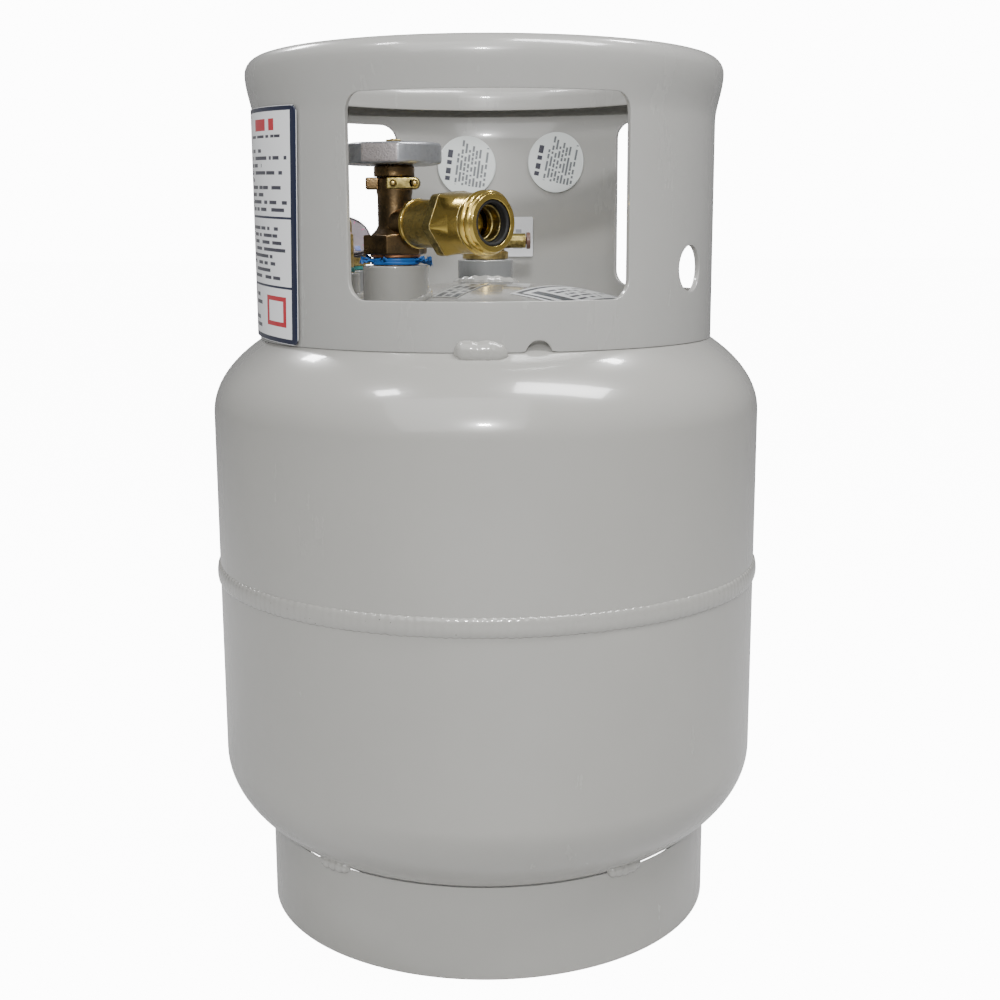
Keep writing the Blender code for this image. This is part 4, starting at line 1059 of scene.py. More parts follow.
@dataclass
class Collar:
    """Sheet collar with hand windows, a round hole, a drain notch and a rolled lip."""

    radius: float = 127.8
    wall: float = 2.8
    flare: float = 448.0
    roll: Triple = (123.2, 473.2, 7.3)
    lip: float = 465.4
    levels: Point = (356.3, 456.6)
    corner: float = 9.5
    spans: tuple[Point, ...] = ((-32.2, 34.0), (88.0, 139.0), (-153.4, -104.0))
    hole: Triple = (57.1, 370.3, 12.0)
    notch: Triple = (11.8, 330.6, 6.6)
    weld_angles: tuple[float, ...] = (-1.2, 118.8, -121.2)

    def build(self) -> None:
        """Build the collar and its welds."""
        self.sheet()
        outer = self.radius + 0.3
        for number, middle in enumerate(self.weld_angles, 1):
            path = short_arc(middle, 13.4, outer, 0.8, dome(outer) + 1.4)
            bead(f"collar_weld_bead_{number}", path, 11.0, 3.4, 2.6, [f"collar_weld_{number}"],
                 seed=number * 5.7, depth=0.05, steps=60, wander=3.2)

    def profile(self) -> list[Point]:
        """Return the sheet's middle line from the foot up to the curled lip."""
        middle = self.radius - self.wall / 2.0
        x, z, radius = self.roll
        line = [(middle, dome(self.radius) + 0.5 + step) for step in (0.0, 1.5)]
        level = line[-1][1]
        count = 30
        line += [(middle, level + (self.flare - level) * step / count) for step in range(1, count + 1)]
        for step in range(1, 13):
            share = step / 12.0
            ease = share * share * (3.0 - 2.0 * share)
            line.append((middle + (x + radius - middle) * ease, self.flare + (z - self.flare) * share))
        for step in range(1, 17):
            angle = math.pi * step / 16.0
            line.append((x + radius * math.cos(angle), z + radius * math.sin(angle)))
        line += [(x - radius, z + (self.lip - z) * share) for share in (0.33, 0.66, 1.0)]
        return line

    def cuts(self, middle: float, foot: float) -> list[list[Point]]:
        """Return the outline of every opening on the unrolled sheet."""
        outlines = []
        low, high = (level - foot for level in self.levels)
        for start, end in self.spans:
            left, right = (math.radians(angle) * middle for angle in (start, end))
            outline = []
            for x, y, first in ((right, high, 0.0), (left, high, 90.0), (left, low, 180.0),
                                (right, low, 270.0)):
                centre_x = x - self.corner * (1.0 if x == right else -1.0)
                centre_y = y - self.corner * (1.0 if y == high else -1.0)
                for step in range(9):
                    angle = math.radians(first + 90.0 * step / 8.0)
                    outline.append((centre_x + self.corner * math.cos(angle),
                                    centre_y + self.corner * math.sin(angle)))
            outlines.append(outline)
        for degrees, level, radius in (self.hole, self.notch):
            x = math.radians(degrees) * middle
            steps = [2.0 * math.pi * step / 32.0 for step in range(32)]
            outlines.append([(x + radius * math.cos(a),
                              level - foot + radius * math.sin(a)) for a in steps])
        return outlines

    @staticmethod
    def divided(outline: list[Point], pitch: float) -> list[Point]:
        """Return an outline whose long edges are divided."""
        result = []
        for index, point in enumerate(outline):
            after = outline[(index + 1) % len(outline)]
            parts = max(1, round(math.dist(point, after) / pitch))
            result += [(point[0] + (after[0] - point[0]) * step / parts,
                        point[1] + (after[1] - point[1]) * step / parts) for step in range(parts)]
        return result

    @staticmethod
    def inside(point: Point, outline: list[Point], margin: float = 0.0) -> bool:
        """Tell whether a point lies in an outline, or within a margin of its edge."""
        x, y = point
        within = False
        for index, (ax, ay) in enumerate(outline):
            bx, by = outline[index - 1]
            if (ay > y) != (by > y) and x < (bx - ax) * (y - ay) / (by - ay) + ax:
                within = not within
            if margin and math.hypot(x - ax, y - ay) < margin:
                return True
        return within

    def sheet(self) -> None:
        """Lay out the flat sheet with its openings, roll it, and give it its wall."""
        line = self.profile()
        middle = self.radius - self.wall / 2.0
        runs = [0.0]
        for one, two in zip(line, line[1:]):
            runs.append(runs[-1] + math.dist(one, two))
        outlines = [self.divided(outline, 3.0) for outline in self.cuts(middle, line[0][1])]
        around_length = math.pi * middle
        columns = 240
        points: list[Point] = []
        edges: list[tuple[int, int]] = []
        for outline in outlines:
            kept = [point for point in outline if point[1] > 0.05]
            first = len(points)
            points += kept
            for step in range(len(kept)):
                if math.dist(kept[step], kept[step - 1]) < 4.0:
                    edges.append((first + (step - 1) % len(kept), first + step))
        boxes = [(min(x for x, _ in o) - 2.0, max(x for x, _ in o) + 2.0, min(y for _, y in o) - 2.0,
                  max(y for _, y in o) + 2.0) for o in outlines]
        for run in runs:
            for column in range(columns + 1):
                point = (around_length * (2.0 * column / columns - 1.0), run)
                near = [o for o, b in zip(outlines, boxes)
                        if b[0] < point[0] < b[1] and b[2] < point[1] < b[3]]
                if not any(self.inside(point, outline, 1.3) for outline in near):
                    points.append(point)
        verts, _, faces, *_ = geometry.delaunay_2d_cdt([Vector(point) for point in points], edges, [], 0,
                                                       1e-4)
        mesh = bmesh.new()
        placed = [mesh.verts.new(self.rolled(vert, line, runs, middle)) for vert in verts]
        for face in faces:
            x = sum(verts[index].x for index in face) / len(face)
            y = sum(verts[index].y for index in face) / len(face)
            near = [o for o, b in zip(outlines, boxes) if b[0] < x < b[1] and b[2] < y < b[3]]
            if not any(self.inside((x, y), outline) for outline in near):
                mesh.faces.new([placed[index] for index in face])
        loose = [vert for vert in mesh.verts if not vert.link_faces]
        bmesh.ops.delete(mesh, geom=loose, context="VERTS")
        bmesh.ops.remove_doubles(mesh, verts=mesh.verts, dist=0.01)
        bmesh.ops.recalc_face_normals(mesh, faces=mesh.faces)
        piece = new_object("collar_sheet", in_metres(mesh, "collar_sheet"))
        solid = piece.modifiers.new("wall", "SOLIDIFY")
        solid.thickness = self.wall * MM
        solid.offset = 0.0
        rim = piece.modifiers.new("rim", "BEVEL")
        rim.width = 0.7 * MM
        rim.segments = 2
        rim.limit_method = "ANGLE"
        rim.angle_limit = math.radians(60.0)
        mesh_with_normals(piece)
        # The collar takes the lightened enamel, which is painted light for its shaded inside.
        Shape().put(piece.data, COLLAR_PAINTED_LIGHT).finish("collar_skin", stands_for=["collar"], sharp=50.0)
        bpy.data.objects.remove(piece)

    @staticmethod
    def rolled(flat: Vector, line: list[Point], runs: list[float], middle: float) -> Vector:
        """Return where a point of the flat sheet goes on the rolled collar."""
        index = 1
        while index < len(runs) - 1 and runs[index] < flat.y:
            index += 1
        share = (flat.y - runs[index - 1]) / (runs[index] - runs[index - 1])
        radius = line[index - 1][0] + (line[index][0] - line[index - 1][0]) * share
        level = line[index - 1][1] + (line[index][1] - line[index - 1][1]) * share
        return around(math.degrees(flat.x / middle), radius, level)


@dataclass
class Bosses:
    """Threaded bosses on the upper head, each in a fillet of weld."""

    places: tuple[tuple[str, float, float, float, float, float, float], ...] = (
        ("service_boss", *SERVICE_VALVE, 17.5, 12.3, 342.0, 372.2),
        ("relief_boss", *RELIEF_VALVE, 17.0, 12.3, 345.0, 373.0),
        ("gauge_boss", *GAUGE_PLACE, 15.5, 12.3, 335.0, 368.0),
        ("vent_boss", *VENT_PLACE, 9.3, 5.6, 341.0, 367.2))
    # Bosses whose enamel is darkened to paint the shade that falls on them.
    dark: tuple[str, ...] = ("relief_boss", "gauge_boss")

    def build(self) -> None:
        """Build each boss and its fillet."""
        for number, (name, x, y, outer, bore, low, high) in enumerate(self.places):
            outline = [(outer, high), (outer, low), (bore, low), (bore, high)]
            paint = BOSS_PAINTED_SHADE if name in self.dark else PAINT
            Shape().turned(outline, paint, upright(x, y), ease=1.2).finish(name + "_skin",
                                                                         stands_for=[name])
            path = []
            for step in range(72):
                angle = 2.0 * math.pi * step / 72.0
                px, py = x + (outer + 0.6) * math.cos(angle), y + (outer + 0.6) * math.sin(angle)
                path.append(Vector((px, py, dome(math.hypot(px, py)) + 0.8)))
            size = 2.1 if name == "relief_boss" else 1.0
            bead(name + "_fillet", path, 4.0 * size, 1.7 * size, 15.0, closed=True, seed=number * 2.3,
                 depth=0.07, steps=220, wander=0.7 * size)


@dataclass
class ServiceValve:
    """Forged valve with lugs, lock pins, tape, bonnet and handwheel."""

    x: float = SERVICE_VALVE[0]
    y: float = SERVICE_VALVE[1]
    lug_levels: Point = (411.6, 418.0)

    def build(self) -> None:
        """Build each piece of the valve."""
        spot = upright(self.x, self.y)
        outlet = outward(OUTLET_AROUND, OUTLET_LEVEL, self.x, self.y)
        low, high = self.lug_levels
        height, level = high - low, (low + high) / 2.0
        column = [(5.6, 366.0), (5.6, 353.0), (11.9, 353.0), (11.9, 376.2), (13.2, 376.5), (13.2, 380.5),
                  (12.4, 388.4), (10.0, 391.0), (9.1, 393.0), (9.1, 408.0), (9.6, 410.5), (9.6, 417.0),
                  (9.1, 418.0), (5.9, 418.0), (5.9, 366.5)]
        body = Shape().turned(column, BRONZE, spot, ease=0.6)
        body.turned([(13.4, 376.4), (13.4, 378.0), (12.0, 378.4), (12.0, 376.4)], COPPER, spot, ease=0.3)
        body.hexagon(30.2, 377.8, 388.2, BRONZE, spot, turn=-11.4, ease=1.1)
        body.turned([(0.0, 5.0), (8.8, 5.0), (8.2, 9.5), (8.2, 17.4), (0.0, 17.4)], BRONZE, outlet,
                    ease=0.5)
        body.box((13.0, 9.0, height), (-8.5, 0.0, level), BRONZE, spot, ease=1.0)
        body.box((14.5, 10.0, height), (3.55, -5.0, level), DARK_BRASS, spot, ease=0.9)
        ear = spot @ Matrix.Translation((10.8, 0.0, level)) @ Matrix.Rotation(math.radians(90.0), 4, "X")
        body.turned([(0.0, 0.0), (3.2, 0.0), (3.2, 10.0), (0.0, 10.0)], DARK_BRASS, ear, ease=0.8,
                    steps=48)
        body.finish("valve_body_forging", stands_for=["valve_body"])
        for number, offset in enumerate((0.0, 11.2), 1):
            head = Matrix.Translation((self.x + offset, self.y - 10.3, level))
            head = head @ Matrix.Rotation(math.radians(90.0), 4, "X")
            outline = [(0.0, 2.0), (0.9, 1.85), (1.6, 1.2), (2.0, 0.0), (1.2, 0.0), (1.2, -1.6),
                       (0.0, -1.6)]
            Shape().turned(outline, FITTING_BRASS, head, ease=0.3, steps=32).finish(
                f"lock_pin_head_{number}", stands_for=[f"lock_pin_{number}"])
        self.bonnet(spot)
        self.tape(spot)
        self.handwheel(spot)

    def bonnet(self, spot: Matrix) -> None:
        """Build the bonnet that closes the valve's top."""
        outline = [(4.8, 424.2), (9.8, 424.2), (10.8, 423.0), (10.8, 418.3), (5.7, 418.3), (5.7, 404.0),
                   (3.3, 404.0), (3.3, 420.4), (4.8, 420.4)]
        Shape().turned(outline, BRONZE, spot, ease=0.5).finish("bonnet_cap", stands_for=["bonnet"])

    def tape(self, spot: Matrix) -> None:
        """Build the wound tape, with ragged turns and two loose flaps."""
        def ragged(angle: float, point: Point) -> float:
            """Return the extra radius of the winding."""
            where = Vector((math.cos(angle) * 2.2, math.sin(angle) * 2.2, point[1] * 0.7))
            return 0.55 * noise.noise(where) if point[0] > 12.5 else 0.0

        outline = [(12.2, 372.6), (12.9, 372.7), (13.2, 373.6), (12.8, 374.2), (13.3, 375.0),
                   (12.9, 375.8),
                   (12.2, 376.1)]
        shape = Shape().turned(outline, TAPE, spot, ease=0.2, steps=96, wobble=ragged)
        shreds = ((-88.0, 7.0, 5.5, 1.6), (-70.0, 5.0, 7.0, -0.4), (-104.0, 4.0, 4.0, 2.4),
                  (74.0, 6.5, 7.0, 0.8), (88.0, 5.0, 6.5, -1.2), (62.0, 4.0, 5.0, 2.0),
                  (-25.0, 5.0, 1.6, 1.2))
        for degrees, width, length, rise in shreds:
            self.shred(shape, degrees, width, length, rise)
        shape.finish("thread_tape_winding", stands_for=["thread_tape"])

    def shred(self, shape: Shape, degrees: float, width: float, length: float, rise: float) -> None:
        """Add one crumpled loose end of tape that leaves the winding at an angle."""
        ring = [(0.0, 0.0)]
        for step in range(25):
            share = step / 24.0
            ragged = 1.0 + 0.35 * noise.noise(Vector((share * 7.0, degrees, 1.0)))
            angle = math.pi * (share - 0.5)
            ring.append((width / 2.0 * math.sin(angle),
                         length * ragged * abs(math.cos(angle)) ** 0.4 + 0.2))
        before = set(shape.mesh.verts)
        shape.prism(ring, -0.45, 0.45, TAPE, None, 0.2, 0.0)
        for vert in set(shape.mesh.verts) - before:
            across, out, side = vert.co
            fold = noise.noise(Vector((across * 0.8, out * 0.7, degrees)))
            level = 374.5 + side + rise * out / length + 3.4 * fold * out / length
            point = around(degrees + math.degrees(across / 12.6), 12.4 + out, level)
            vert.co = point + Vector((self.x, self.y, 0.0))

    def handwheel(self, spot: Matrix) -> None:
        """Build the cast handwheel with its three stippled flats, and its nut."""
        radius, low, high = 25.5, 424.3, 435.3
        outline = []
        chord = radius * math.cos(math.radians(GRIP_HALF))
        for step in range(192):
            degrees = step * 360.0 / 192.0
            reach = radius
            for flat in GRIP_ANGLES:
                away = turned_by(degrees, flat)
                if abs(away) < GRIP_HALF:
                    reach = chord / math.cos(math.radians(away))
            point = around(degrees, reach, 0.0)
            outline.append((point.x, point.y))
        wheel = Shape().prism(outline, low, high, CAST, spot, 1.9, 0.0)
        grips = [face for face in wheel.mesh.faces if abs(face.normal.z) < 0.5]
        number = wheel.index(GRIP)
        for face in grips:
            centre = face.calc_center_median()
            angle = math.degrees(math.atan2(centre.x - self.x, -(centre.y - self.y)))
            for flat in GRIP_ANGLES:
                if abs(turned_by(angle, flat)) < GRIP_HALF - 0.5:
                    face.material_index = number
        wheel.turned([(3.3, 434.6), (3.3, 435.8), (7.4, 435.8), (8.6, 435.0), (8.6, 434.6)], CAST, spot,
                     0.3)
        wheel.finish("handwheel_casting", "handwheel", ["handwheel"])
        nut = Shape().hexagon(8.0, 435.6, 437.4, FITTING_BRASS, spot, ease=0.4)
        nut.finish("handwheel_nut_brass", "handwheel", ["handwheel_nut"])


@dataclass
class Coupling:
    """Quick coupling with a stamped stub, a hexagon in darker brass that paints the shade on its flats,
    a bright cone and a coarse thread.
    """

    face: float = 77.4

    @staticmethod
    def facets(angle: float, point: Point) -> float:
        """Return how far the cone stands out over a circle, from a hexagon at its foot to nothing."""
        radius, level = point
        if radius < 14.0 or level > 60.5:
            return 0.0
        away = (math.degrees(angle) - 96.7 + 30.0) % 60.0 - 30.0
        corner = min(17.4, 15.5 / math.cos(math.radians(away))) - 15.5
        return corner * min(1.0, max(0.0, (60.1 - level) / 11.4))

    def build(self) -> None:
        """Build the body, seal, retainer and poppet."""
        spot = outward(OUTLET_AROUND, OUTLET_LEVEL, *SERVICE_VALVE)
        face = self.face
        shape = Shape().turned([(4.6, 17.7), (11.6, 17.7), (12.3, 18.6), (12.3, 42.6), (8.9, 42.6),
                                (8.9, 38.0), (4.6, 38.0)], OLIVE, spot, ease=0.4)
        shape.turned([(12.0, 18.2), (12.9, 18.4), (12.9, 20.4), (12.0, 20.8)], BRASS, spot, ease=0.3)
        # The hexagon takes darker brass: painted shade for its flats, which face away from the light.
        shape.turned([(8.9, 42.0), (14.6, 42.0), (15.5, 42.9), (15.5, 48.4), (8.9, 48.4)], DARK_BRASS,
                     spot,
                     ease=0.3, steps=144, wobble=self.facets)
        cone = [(15.5 - 0.4 * step / 12.0, 48.7 + 0.95 * step) for step in range(13)]
        shape.turned([(8.9, 48.0), (14.9, 48.0)] + cone + [(15.0, face - 10.4), (8.9, face - 10.4)],
                     BRASS,
                     spot, ease=0.4, steps=144, wobble=self.facets)
        shape.turned([(11.4, face - 10.6), (15.0, face - 10.6), (14.9, face - 1.4), (14.2, face),
                      (11.4, face)], BRASS, spot, ease=0.4, steps=96)
        thread = grow(THREAD_TREE, short_line(), Radius=0.0148, Turns=1.9,
                      Rise=0.0078, Crest=0.0014, Half_Width=0.0018, Material=BRASS.material())
        shape.put(thread, BRASS, spot @ Matrix.Translation((0.0, 0.0, face - 9.4)))
        shape.finish("coupling_brass", stands_for=["coupling_body"])
        ring = [(9.6, face - 14.7), (11.1, face - 14.7), (11.1, face - 0.6), (10.2, face - 0.6),
                (9.6, face - 1.2)]
        Shape().turned(ring, RUBBER, spot, ease=0.2).finish("coupling_seal_ring",
                                                            stands_for=["coupling_seal"])
        ring = [(7.5, face - 13.2), (9.3, face - 13.2), (9.3, face - 4.5), (8.3, face - 4.5),
                (8.1, face - 9.4), (7.5, face - 9.8)]
        Shape().turned(ring, DARK_BRASS, spot, ease=0.4).finish("coupling_retainer_ring",
                                                           stands_for=["coupling_retainer"])
        nose = [(0.0, face - 12.0), (3.2, face - 12.4), (6.6, face - 15.0), (7.4, face - 17.0),
                (7.4, face - 20.0), (2.2, face - 20.4), (2.2, 44.0), (0.0, 44.0)]
        # The poppet takes the darker stamped brass, which paints the shade deep inside the coupling's
        # mouth.
        Shape().turned(nose, OLIVE, spot, ease=0.5).finish("coupling_poppet_brass", "coupling_poppet",
                                                           ["coupling_poppet"])


@dataclass
class ReliefValve:
    """Relief valve behind the service valve, with its side outlet and cap."""

    def build(self) -> None:
        """Build the body and its cap."""
        spot = upright(*RELIEF_VALVE)
        arm = outward(90.0, 384.2, *RELIEF_VALVE)
        outline = [(7.6, 403.0), (10.6, 403.0), (11.6, 401.6), (11.6, 378.4), (14.0, 377.6),
                   (14.0, 373.4),
                   (11.9, 373.3), (11.9, 350.0), (5.0, 350.0), (5.0, 376.0), (7.6, 376.0)]
        body = Shape().turned(outline, FITTING_BRASS, spot, ease=0.6)
        body.turned([(2.6, 10.5), (4.7, 10.5), (4.4, 13.0), (4.4, 24.6), (2.6, 24.6)], DARK_BRASS, arm,
                    0.4)
        body.finish("relief_body_brass", stands_for=["relief_body"])
        cap = [(0.0, 27.4), (4.6, 27.4), (5.0, 26.8), (5.0, 25.0), (2.2, 25.0), (2.2, 20.0), (0.0, 20.0)]
        Shape().turned(cap, CAP, arm, 0.4).finish("relief_cap_moulding", "relief_cap", ["relief_cap"])
        coil = grow(THREAD_TREE, short_line(), Radius=0.0044, Turns=4.5,
                    Rise=0.0146, Crest=0.0006, Half_Width=0.0006, Material=SPRING.material())
        lift = spot @ Matrix.Translation((0.0, 0.0, 381.2))
        spring = Shape().put(coil, SPRING, lift).finish("relief_spring_coil",
                                                        stands_for=["relief_spring"])
        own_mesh(spring)


@dataclass
class LevelVent:
    """Fixed level vent with its slotted screw."""

    def build(self) -> None:
        """Build the body and the screw."""
        spot = upright(*VENT_PLACE)
        outline = [(3.2, 389.0), (5.4, 389.0), (6.0, 388.2), (6.0, 371.0), (5.2, 368.2), (5.2, 352.0),
                   (3.4, 352.0), (3.4, 365.0), (1.4, 366.0), (1.4, 378.0), (3.2, 380.0)]
        body = Shape().turned(outline, FITTING_BRASS, spot, ease=0.4, steps=48)
        body.turned([(5.2, 367.6), (6.6, 367.6), (6.6, 369.6), (5.2, 370.6)], SEALANT, spot, 0.4, 48,
                    lambda angle,
                    point: 0.5 * noise.noise(Vector((math.cos(angle), math.sin(angle), 3.0))))
        body.finish("vent_body_brass", stands_for=["vent_body"])
        screw = Shape()
        screw.turned([(0.0, 395.6), (5.0, 395.6), (5.2, 395.2), (5.2, 389.4), (2.9, 389.4), (2.9, 380.6),
                      (1.2, 379.0), (0.0, 379.0)], FITTING_BRASS, spot, 0.3, 48)
        for side in (-1.0, 1.0):
            arc = [math.radians(12.0 + 156.0 * step / 16.0) for step in range(17)]
            half = [(4.8 * math.cos(a), side * 4.8 * math.sin(a)) for a in arc]
            screw.prism(half, 395.4, 396.6, FITTING_BRASS, spot, 0.25, 0.2)
        screw.finish("vent_screw_brass", "vent_screw", ["vent_screw"])


@dataclass
class Gauge:
    """Float gauge head with its tilted dial."""

    base: Triple = (*GAUGE_PLACE, 382.0)
    facing: Triple = (0.36, -0.70, 0.62)

    def build(self) -> None:
        """Build the body, dial, needle, lens and screws."""
        spot = upright(*GAUGE_PLACE)
        turn = Vector(self.facing).normalized().to_track_quat("Z", "Y").to_matrix().to_4x4()
        head = Matrix.Translation(self.base) @ turn
        body = Shape().turned([(0.0, 381.5), (6.0, 381.5), (6.0, 375.8), (12.6, 375.4), (12.6, 368.9),
                               (11.9, 368.8), (11.9, 346.0), (3.6, 346.0), (3.6, 374.0), (0.0, 374.0)],
                              FITTING_BRASS, spot, 0.5)
        body.hexagon(27.6, 371.0, 376.0, FITTING_BRASS, spot, turn=20.0, ease=0.7)
        body.turned([(0.0, 2.0), (13.4, 2.0), (14.2, 3.0), (14.2, 8.6), (0.0, 8.6)], RIM, head, 0.5)
        body.turned([(0.0, -1.0), (6.0, -1.0), (6.0, 3.0), (0.0, 3.0)], FITTING_BRASS, head, 0.3)
        for side in (-1.0, 1.0):
            body.turned([(0.0, 2.5), (2.6, 2.5), (2.6, 6.6), (0.0, 6.6)], DARK_BRASS,
                        head @ Matrix.Translation((17.3 * side, 0.0, 0.0)), 0.3, 32)
            body.box((5.0, 4.0, 3.2), (14.9 * side, 0.0, 4.5), DARK_BRASS, head, 0.4)
        body.turned([(11.9, 368.1), (13.6, 368.2), (13.4, 370.2), (11.9, 370.8)], SEALANT, spot, 0.5, 72,
                    lambda angle, point: 0.7 * noise.noise(Vector((3 * math.cos(angle),
                                                                   3 * math.sin(angle), point[1]))))
        body.finish("gauge_body_brass", stands_for=["gauge_body"])
        dial = Shape().turned([(0.9, 8.9), (13.2, 8.9), (13.2, 9.6), (0.9, 9.6)], DIAL, head, 0.15)
        marks = grow(DIAL_TREE, short_line(), Count=9, Radius=0.0108,
                     Start=math.radians(-45.0), Sweep=math.radians(270.0), Length=0.0022, Width=0.0007,
                     Material=MARKS.material())
        dial.put(marks, MARKS, head @ Matrix.Translation((0.0, 0.0, 9.66)))
        dial.turned([(12.7, 9.5), (13.3, 9.5), (13.3, 10.4), (12.7, 10.4)], RIM, head, 0.1)
        dial.box((3.4, 3.4, 0.3), (3.0, -9.6, 9.8), NEEDLE, head, 0.2)
        dial.finish("gauge_dial_face", stands_for=["gauge_dial"])
        needle = Shape().prism([(-0.9, -2.4), (0.9, -2.4), (0.5, 9.0), (0.0, 10.0), (-0.5, 9.0)], 10.1,
                               10.55, MARKS, head, 0.1, 0.2)
        needle.turned([(0.0, 10.1), (1.8, 10.1), (1.8, 10.7), (0.0, 10.7)], MARKS, head, 0.15, 32)
        needle.finish("gauge_needle", "pointer", ["gauge_pointer"])
        lens = [(0.0, 13.0), (8.0, 12.9), (11.4, 12.5), (14.2, 11.4), (14.2, 8.9), (13.5, 8.9),
                (13.5, 11.0), (10.8, 12.0), (0.0, 12.3)]
        Shape().turned(lens, LENS, head, 0.3, 96).finish("gauge_lens_cover", stands_for=["gauge_lens"])
        for number, side in enumerate((-1.0, 1.0), 1):
            screw = Shape().hexagon(4.6, 6.9, 9.6, FITTING_BRASS,
                                    head @ Matrix.Translation((17.3 * side, 0.0, 0.0)), ease=0.3)
            screw.finish(f"gauge_screw_head_{number}", stands_for=[f"gauge_screw_{number}"])


@dataclass
class Stickers:
    """Printed film on the collar and the upper head."""

    outside: float = 129.15
    inside: float = 124.1

    def build(self) -> None:
        """Build every sticker."""
        white = (0.8, 0.81, 0.82)
        data = Sticker("data_print", white, 0.3, style=Print.DATA)
        self.wrapped("data_label", self.outside, (-98.0, -47.6), (333.8, 454.4), 4.0, data, -2.0)
        left_print = Sticker("left_round_print", (0.62, 0.65, 0.64), 0.4, style=Print.ROUND, lean=-82.0)
        right_print = Sticker("right_round_print", (0.62, 0.65, 0.64), 0.4, style=Print.ROUND,
                              lean=-78.0)
        self.wrapped("round_label_1", self.inside, (-183.2, -165.8), (412.6, 450.4), 18.85, left_print)
        self.wrapped("round_label_2", self.inside, (149.7, 167.1), (414.3, 452.1), 18.85, right_print)
        square = Sticker("square_print", (0.7, 0.71, 0.73), 0.4, style=Print.SQUARE)
        self.wrapped("square_label", self.inside, (165.6, 177.6), (373.6, 399.0), 1.0, square)
        arrow = Sticker("arrow_print", white, 0.35, style=Print.ARROW)
        self.draped("dome_label_1", (47.8, -34.2), (70.0, 40.0), 60.0, arrow)
        emblem = Sticker("emblem_print", (0.4, 0.4, 0.38), 0.3, style=Print.EMBLEM)
        self.draped("dome_label_2", (-13.0, -40.0), (44.0, 15.0), 66.0, emblem)

    @staticmethod
    def film(name: str, rows: int, columns: int, place: Callable[[float, float], tuple[Vector, Point]],
             finish: Sticker, outward_faces: Callable[[Vector], Vector]) -> None:
        """Make a film from a grid.

        Args:
            name: name of the CAD node that it replaces.
            rows: divisions upwards.
            columns: divisions across.
            place: gives the point and the print place at a share across and a share up.
            finish: print of the film.
            outward_faces: gives the direction that the printed side faces at a point.
        """
        mesh = bmesh.new()
        layer = mesh.loops.layers.uv.new("UVMap")
        grid, prints = [], {}
        for row in range(rows + 1):
            line = []
            for column in range(columns + 1):
                point, flat = place(column / columns, row / rows)
                vert = mesh.verts.new(point * MM)
                prints[vert] = flat
                line.append(vert)
            grid.append(line)
        for low, high in zip(grid, grid[1:]):
            for column in range(columns):
                corners = [low[column], low[column + 1], high[column + 1], high[column]]
                face = mesh.faces.new(corners)
                for loop in face.loops:
                    loop[layer].uv = prints[loop.vert]
        mesh.faces.ensure_lookup_table()
        middle = mesh.faces[len(mesh.faces) // 2]
        middle.normal_update()
        if middle.normal.dot(outward_faces(middle.calc_center_median())) < 0.0:
            bmesh.ops.reverse_faces(mesh, faces=mesh.faces)
        data = bpy.data.meshes.new(name)
        mesh.to_mesh(data)
        mesh.free()
        data.materials.append(finish.material())
        data.shade_smooth()
        piece = new_object(name + "_film", data)
        wall = piece.modifiers.new("wall", "SOLIDIFY")
        wall.thickness = 0.22 * MM
        wall.offset = 0.0
        mesh_with_normals(piece)
        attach(piece, "cylinder")
        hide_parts(name)
        LOG.info("%s: %d faces on cylinder", piece.name, len(piece.data.polygons))

    def wrapped(self, name: str, radius: float, span: Point, levels: Point, corner: float,
                finish: Sticker, lean: float = 0.0) -> None:
        """Build a film bent round the cylinder's axis."""
        half_width = math.radians(span[1] - span[0]) / 2.0 * radius
        half_height = (levels[1] - levels[0]) / 2.0
        middle = math.radians(span[0] + span[1]) / 2.0
        level = sum(levels) / 2.0
        inner = radius < 127.0

        def place(across: float, up: float) -> tuple[Vector, Point]:
            """Return a point of the film and its place in the print."""
            height = half_height * math.sin(math.pi * (up - 0.5))
            depth = max(0.0, abs(height) - (half_height - corner))
            cut = corner - math.sqrt(max(0.0, corner * corner - depth * depth))
            along = (2.0 * across - 1.0) * (half_width - cut)
            flat = (0.5 + along / half_width / 2.0, 0.5 + height / half_height / 2.0)
            turn = math.radians(lean)
            shifted = along * math.cos(turn) - height * math.sin(turn)
            rise = along * math.sin(turn) + height * math.cos(turn)
            angle = middle + shifted / radius
            point = Vector((radius * math.sin(angle), -radius * math.cos(angle), level + rise))
            return point, (1.0 - flat[0] if inner else flat[0], flat[1])

        self.film(name, 48, 36, place, finish,
                  lambda p: Vector((p.x, p.y, 0.0)) * (-1.0 if inner else 1.0))

    def draped(self, name: str, centre: Point, size: Point, turn: float, finish: Sticker) -> None:
        """Build a film that lies on the upper head."""
        angle = math.radians(turn)

        def place(across: float, up: float) -> tuple[Vector, Point]:
            """Return a point of the film and its place in the print."""
            along, over = (across - 0.5) * size[0], (up - 0.5) * size[1]
            x = centre[0] + along * math.cos(angle) - over * math.sin(angle)
            y = centre[1] + along * math.sin(angle) + over * math.cos(angle)
            return Vector((x, y, dome(math.hypot(x, y)) + 0.3)), (across, up)

        self.film(name, 16, 28, place, finish, lambda p: Vector(UP))


